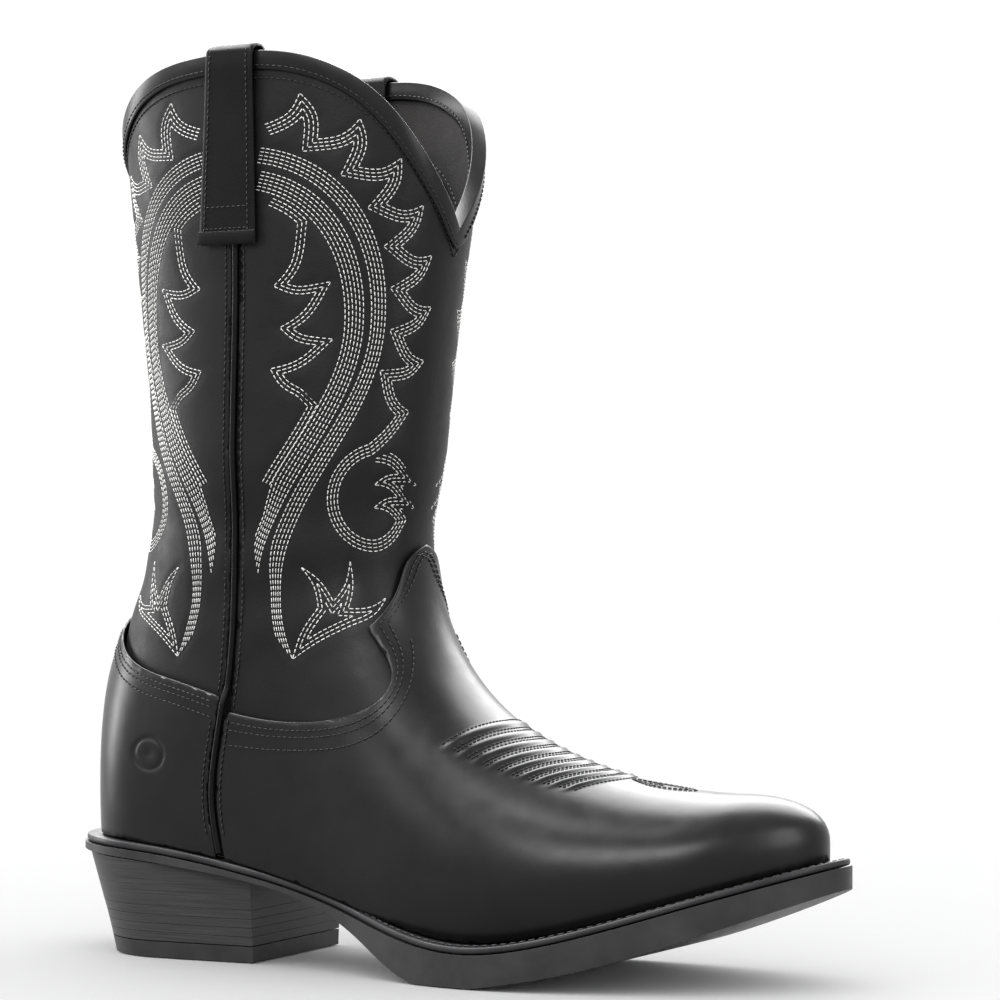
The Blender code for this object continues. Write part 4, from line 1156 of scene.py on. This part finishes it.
def facing():
    """The leather band inside the top of the shaft, with a row along its lower edge."""
    angles = np.linspace(0, 360, 300, endpoint=False)
    front = np.abs((angles + 180) % 360 - 180)
    share = np.array([0, 0.25, 0.5, 0.75, 0.97, 1.0])
    lean = np.array([0, 0, 0, 0, 0.05, 0.4])
    z = top_line(front) + (facing_foot(front) - top_line(front)) * share[:, None]
    p = wall_point(np.broadcast_to(angles, z.shape), z)
    outward = normal_at(p)
    skin = p - outward * (LINING_DEPTH + FACING_SINK + lean[:, None, None])
    back = p - outward * (LINING_DEPTH + FACING_SINK + LEATHER - lean[:, None, None])
    rings = [np.concatenate([skin[:, i], back[::-1, i]]) for i in range(len(angles))]
    take_place(ring_solid("facing_leather", rings, LINING_LOOK), "shaft_facing", slot="lining_leather")
    z = facing_foot(front) + 3.0
    p = wall_point(angles, z)
    n = normal_at(p)
    row = p - n * (LINING_DEPTH + FACING_SINK + LEATHER + 0.05), -n
    take_place(stitch_rows("facing_stitching", [row], BLACK_THREAD, length=2.4, radius=0.25))


def binding():
    """The rolled strip over the top edge."""
    p, outward, up = ring_of(np.linspace(0, 360, 420, endpoint=False))
    out, inn = 0.5, -(LINING_DEPTH + FACING_SINK + LEATHER + 0.5)
    low, top, t = -BINDING_LEG, 0.35, BINDING_T
    round_ = [(math.cos(a), math.sin(a)) for a in np.linspace(0, math.pi / 2, 5)]
    outer = [(out + t - 0.35 + 0.35 * c, top + t - 0.35 + 0.35 * s) for c, s in round_]
    inner = [(inn - t + 0.35 - 0.35 * c, top + t - 0.35 + 0.35 * s) for c, s in round_[::-1]]
    section = [(out, low), (out + t * 0.7, low), (out + t, low + 0.4)] + outer + inner
    section += [(inn - t, low + 0.4), (inn - t * 0.7, low), (inn, low), (inn, top), (out, top)]
    rings = [c + np.array([a * n + b * u for a, b in section]) for c, n, u in zip(p, outward, up)]
    strip = ring_solid("topline_binding_leather", rings, VAMP_LOOK)
    take_place(strip, "topline_binding", slot="vamp_leather")
    row = [(p + (out + t) * outward - 4.4 * up, outward), (p + (inn - t) * outward - 4.4 * up, -outward)]
    take_place(stitch_rows("binding_stitching", row, BLACK_THREAD, length=2.1, radius=0.24))


def piping():
    for name, side in (("lateral", 1), ("medial", -1)):
        p, outward, z = seam_path(side, TOP_SIDE_Z - BINDING_LEG - 1.2, 37.0, 28)
        low = float(feather_z(p[-1, 0])) + LIFT + 2.5
        p, outward, z = seam_path(side, TOP_SIDE_Z - BINDING_LEG - 1.2, low, 240)
        p = p - outward * (0.2 + shaft_drop(z) * smooth_step((z - 97) / 9))[:, None]
        down = np.gradient(p, axis=0)
        across = np.cross(down, outward)
        across /= np.linalg.norm(across, axis=1, keepdims=True)
        turn = 2 * np.pi * np.arange(12) / 12
        rings = [[c + PIPING_R * (math.cos(a) * n + math.sin(a) * t) for a in turn]
                 for c, n, t in zip(p, outward, across)]
        tube = ring_solid("side_piping_leather_" + name, rings, STRAP_LOOK, closed=False, sharp=70)
        take_place(tube, "side_piping_" + name, slot="shaft_leather")


def strap_path():
    turn = np.linspace(0, np.pi, 25)
    half, rise, middle, spring = 4.85, 2.5, -1.45, TOP_SIDE_Z + 0.9
    z = np.linspace(STRAP_FOOT_Z, 336, 34)
    outer_leg = spline([(STRAP_FOOT_Z, 2.5), (300, 2.6), (320, 2.9), (332, 3.4)])
    inner_z = np.linspace(336, STRAP_INSIDE_Z, 24)
    inner_leg = spline([(STRAP_INSIDE_Z, -4.9), (305, -5.0), (320, -5.6), (332, -6.2)])
    legs = [np.stack([outer_leg(z), z], -1), np.stack([inner_leg(inner_z), inner_z], -1)]
    loop = np.array([(middle + half * math.cos(a), spring + rise * math.sin(a)) for a in turn])
    return np.concatenate([legs[0], loop, legs[1]]), spring


def strap_skin(path, spring, side, share, stand):
    """Points of a pull strap's skin along its path, at a share of its width."""
    along = np.gradient(path, axis=0)
    away = np.stack([along[:, 1], -along[:, 0]], -1) / np.linalg.norm(along, axis=1, keepdims=True)
    o, z = (path + stand * away).T
    back, front = [e + t * (z - TOP_SIDE_Z) for e, t in zip(STRAP_EDGES, STRAP_TAPER)]
    x = back + (front - back) * share + (STRAP_SHIFT_MEDIAL if side < 0 else 0)
    base_z = np.minimum(z, spring)
    start = np.stack([x, 0 * x, base_z], -1)
    p = surface_along(start, np.broadcast_to([0.0, -side, 0.0], start.shape))
    return p + normal_at(p) * o[:, None] + np.stack([0 * z, 0 * z, z - base_z], -1)


def straps():
    path, spring = strap_path()
    shares = np.array([0, 0.02, 0.06, 0.15, 0.3, 0.5, 0.7, 0.85, 0.94, 0.98, 1.0])
    full = np.array([0.45, 0.8, 0.97, 1, 1, 1, 1, 1, 0.97, 0.8, 0.45])
    rows = []
    for name, side in (("lateral", 1), ("medial", -1)):
        rings = []
        for share, size in zip(shares, full):
            skins = [strap_skin(path, spring, side, share, way * size * STRAP_T / 2) for way in (1, -1)]
            rings.append(np.concatenate([skins[0], skins[1][::-1]]))
        strap = ring_solid("pull_strap_leather_" + name, rings, STRAP_LOOK, closed=False, sharp=60)
        take_place(strap, "pull_strap_" + name, slot="shaft_leather")
        for share in (0.11, 0.89):
            p = strap_skin(path[:38], spring, side, share, STRAP_T / 2)
            rows.append((p, normal_at(p)))
        for height in (7.0, 14.0):
            at = np.linspace(0.12, 0.88, 20)
            leg = path[(np.abs(path[:, 1] - STRAP_FOOT_Z - height)).argmin()][None].repeat(3, 0)
            leg = leg + np.array([[0, -0.5], [0, 0], [0, 0.5]])
            p = np.array([strap_skin(leg, spring, side, a, STRAP_T / 2)[1] for a in at])
            rows.append((p, normal_at(p)))
    take_place(stitch_rows("strap_stitching", rows, BLACK_THREAD, length=1.6, gap=0.6, radius=0.22))


STRAP_STAND = 2.5        # from the wall to the middle of a strap at its foot
FOLD_T = 0.55
FOLD_HEIGHT = 5.0


def strap_folds():
    """The turned-under bar sewn across the foot of each strap."""
    z = STRAP_FOOT_Z + 0.2 + FOLD_HEIGHT * (0.5 - 0.5 * np.cos(np.linspace(0, np.pi, 9)))
    path, spring = np.stack([0 * z + STRAP_STAND, z], -1), TOP_SIDE_Z + 1
    bulge = STRAP_T / 2 + 0.1 + FOLD_T * np.sin(np.linspace(0.12, np.pi - 0.12, 9))**0.8
    for name, side in (("lateral", 1), ("medial", -1)):
        rings = []
        for share, size in ((0.0, 0.6), (0.03, 0.9), (0.1, 1), (0.5, 1), (0.9, 1), (0.97, 0.9), (1.0, 0.6)):
            heights = STRAP_T / 2 + 0.1 + (bulge - STRAP_T / 2 - 0.1) * size
            near = [np.stack([c + (0, -0.3), c, c + (0, 0.3)]) for c in path]
            skin = np.array([strap_skin(c, spring, side, share, h)[1] for c, h in zip(near, heights)])
            under = strap_skin(path, spring, side, share, STRAP_T / 2 + 0.05)
            rings.append(np.concatenate([skin, under[::-1]]))
        bar = ring_solid("strap_fold_" + name, rings, STRAP_LOOK, closed=False, sharp=60)
        take_place(bar)


shaft()
seam_rows()
vamp()
bug_stitching()
edge_stitching()
counter()
linings()
facing()
binding()
piping()
straps()
strap_folds()


# Sole and heel

def plate(name, low_rows, high_rows, z_low, z_high, look, turn=0.0, edge=0.5):
    """A solid between two surfaces over rows that run across it, with rounded edges."""
    bm = bmesh.new()
    spin = np.array([[math.cos(turn), math.sin(turn)], [-math.sin(turn), math.cos(turn)]])
    rings = []
    for low, high in zip(low_rows, high_rows):
        ring = []
        for row, side, z in ((low, 1, z_low), (low, 2, z_low), (high, 2, z_high), (high, 1, z_high)):
            x, y = np.array([row[0], row[side]]) @ spin
            ring.append(bm.verts.new((x, y, float(z(x)))))
        rings.append(ring)
    for a, b in zip(rings, rings[1:]):
        for i in range(4):
            bm.faces.new((a[i], a[i - 1], b[i - 1], b[i]))
    bm.faces.new(rings[0])
    bm.faces.new(rings[-1][::-1])
    bmesh.ops.remove_doubles(bm, verts=bm.verts, dist=1e-3)
    bmesh.ops.dissolve_degenerate(bm, edges=bm.edges, dist=1e-4)
    bmesh.ops.recalc_face_normals(bm, faces=bm.faces)
    made = finish_object(name, bm, look)
    if edge:
        bevel = made.modifiers.new("edge", "BEVEL")
        bevel.width, bevel.segments, bevel.limit_method = edge * MM, 3, "ANGLE"
        bevel.angle_limit = math.radians(45)
        bevel.harden_normals = False
    return made


def welt():
    outer, inner = inset(sole_loop(), 0.8, 420), inset(upper_loop(), WELT_INSET, 420)
    round_ = [(math.cos(a), math.sin(a)) for a in np.linspace(-math.pi / 2, math.pi / 2, 7)]
    rings = []
    for (ox, oy), (ix, iy) in zip(outer, inner):
        o, i = float(feather_z(ox)), float(feather_z(ix))
        way = np.array([ox - ix, oy - iy]) / math.hypot(ox - ix, oy - iy)
        edge = [(ox + way[0] * 0.7 * (c - 1), oy + way[1] * 0.7 * (c - 1), o - WELT_T / 2 + WELT_T / 2 * s)
                for c, s in round_]
        rings.append(edge + [(ix, iy, i), (ix, iy, i - WELT_T)])
    take_place(ring_solid("welt_strip", rings, WELT_LOOK), "welt", slot="welt_leather")
    line = inset(sole_loop(), 3.0, 900)
    p = np.stack([line[:, 0], line[:, 1], feather_z(line[:, 0]) + 0.05], -1)
    p = p[p[:, 0] > 60]
    gap = np.linalg.norm(np.diff(p, axis=0), axis=1)
    cuts = [0] + [i + 1 for i in np.flatnonzero(gap > 5)] + [len(p)]
    rows = [(p[a:b], np.tile([0.0, 0.0, 1.0], (b - a, 1))) for a, b in zip(cuts, cuts[1:]) if b - a > 5]
    take_place(stitch_rows("welt_stitching", rows, BLACK_THREAD, length=3.0, gap=0.6, radius=0.35))


def outsole():
    rows = rows_of(inset(sole_loop(), 0.0, 900), 150, also=BALL_FLAT)
    piece = plate("outsole_rubber", rows, rows, sole_bottom, above_feather(-WELT_T - PLATE_GAP), RUBBER_LOOK,
                  edge=0.6)
    take_place(piece, "outsole", slot="sole_rubber")


HEEL_LINE = 0.12         # visible line between two pressed lifts


def heel():
    fine = 60
    base = plate("heel_top_lift_rubber", heel_rows(0, fine), heel_rows(TOP_LIFT_T, fine), constant(0.0),
                 constant(TOP_LIFT_T), RUBBER_LOOK, HEEL_TURN, 0.4)
    take_place(base, "heel_top_lift", slot="sole_rubber")
    z = TOP_LIFT_T + PLATE_GAP
    for i in range(LIFT_COUNT):
        top = z + LIFT_T + PLATE_GAP - HEEL_LINE
        lift = plate("heel_lift_leather_%d" % (i + 1), heel_rows(z, fine), heel_rows(top, fine), constant(z),
                     constant(top), STACKED_LOOK, HEEL_TURN, 0.06)
        take_place(lift, "heel_lift_%d" % (i + 1), slot="stacked_leather")
        z += LIFT_T + PLATE_GAP
    wedge = plate("heel_wedge_leather", heel_rows(z, fine), heel_rows(35, fine), constant(z),
                  lambda x: sole_bottom(x) - PLATE_GAP, STACKED_LOOK, HEEL_TURN, 0.12)
    take_place(wedge, "heel_wedge", slot="stacked_leather")


def footbed():
    loop = inset(upper_loop(1.0), FOOT_LINING_DEPTH + LINING + 1.3, 500)
    rows = rows_of(loop, 90)
    piece = plate("footbed_pad", rows, rows, above_feather(3.1), above_feather(7.0), FOAM_LOOK, edge=1.4)
    take_place(piece, "footbed", slot="foam")


welt()
outsole()
heel()
footbed()
for node_name, node_look in (("insole_board", BOARD_LOOK), ("cork_filler", CORK_LOOK), ("shank", STEEL_LOOK),
                             ("toe_puff", STIFFENER_LOOK), ("counter_stiffener", STIFFENER_LOOK)):
    dress(node_name, node_look)
for nail in range(5):
    dress("heel_nail_%d" % (nail + 1), STEEL_LOOK)


# Stage: pale floor, soft studio lights, camera at the picture's angle

CAMERA_AZIMUTH = math.radians(29.2)
CAMERA_DISTANCE = 1236.0
CAMERA_AIM = (132.6, 158.7)      # x and height of the point that the camera stands level with
CAMERA_LENS = 119.3              # on a 36 mm sensor
CAMERA_PITCH = math.radians(0.735)


def camera():
    data = bpy.data.cameras.new("camera")
    data.lens, data.sensor_width = CAMERA_LENS, 36.0
    data.clip_start, data.clip_end = 0.05, 50
    obj = bpy.data.objects.new("camera", data)
    x, z = CAMERA_AIM
    away = Vector((math.sin(CAMERA_AZIMUTH), -math.cos(CAMERA_AZIMUTH), 0))
    obj.location = (Vector((x, 0, z)) + CAMERA_DISTANCE * away) * MM
    obj.rotation_euler = (math.pi / 2 + CAMERA_PITCH, 0, CAMERA_AZIMUTH)
    bpy.context.scene.collection.objects.link(obj)
    bpy.context.scene.camera = obj


def floor():
    bm = bmesh.new()
    bmesh.ops.create_grid(bm, x_segments=8, y_segments=8, size=6000)
    made = finish_object("floor", bm, floor_look())
    made.location.z = -0.0004
    return made


def floor_look():
    look = Nodes("floor_look", 0.75)
    look.colour(look.noise(2, 2), (0.955, 0.955, 0.957), (0.975, 0.975, 0.977))
    return look.made


def softbox(name, place, aim, size, radiance, unlit):
    """A soft rectangle of light, which leaves the floor to the even light around it."""
    data = bpy.data.lights.new(name, "AREA")
    data.shape, data.size, data.size_y = "RECTANGLE", size[0], size[1]
    data.energy = radiance * math.pi * size[0] * size[1]
    obj = bpy.data.objects.new(name, data)
    obj.location = place
    obj.rotation_euler = (Vector(aim) - Vector(place)).to_track_quat("-Z", "Y").to_euler()
    obj.light_linking.receiver_collection = unlit
    bpy.context.scene.collection.objects.link(obj)


def floor_only(obj):
    """A light linking list that leaves out the floor."""
    made = bpy.data.collections.new("unlit_by_softboxes")
    made.objects.link(obj)
    made.collection_objects[0].light_linking.link_state = "EXCLUDE"
    return made


def surroundings(strength):
    world = bpy.data.worlds.new("studio")
    world.use_nodes = True
    background = world.node_tree.nodes["Background"]
    background.inputs["Color"].default_value = (1, 1, 1, 1)
    background.inputs["Strength"].default_value = strength
    bpy.context.scene.world = world


bpy.context.scene.view_settings.view_transform = "Standard"
camera()
floor_list = floor_only(floor())
surroundings(1.05)
softbox("side_softbox", (0.4, -1.1, 0.8), (0.15, 0, 0.05), (0.8, 0.35), 16, floor_list)
softbox("left_softbox", (-0.8, -1.1, 0.6), (0.1, 0, 0.05), (0.8, 0.4), 3.5, floor_list)
softbox("top_softbox", (-0.4, -0.25, 1.25), (0.1, 0, 0.08), (0.9, 0.5), 30, floor_list)
softbox("front_softbox", (1.5, -0.25, 0.6), (0.1, 0, 0.1), (0.5, 0.9), 7, floor_list)
softbox("back_softbox", (-0.25, 0.95, 1.15), (0.15, 0, 0.1), (2.2, 1.4), 10, floor_list)
softbox("heel_softbox", (-1.3, -0.1, 0.4), (0, 0, 0.08), (0.35, 0.8), 11, floor_list)
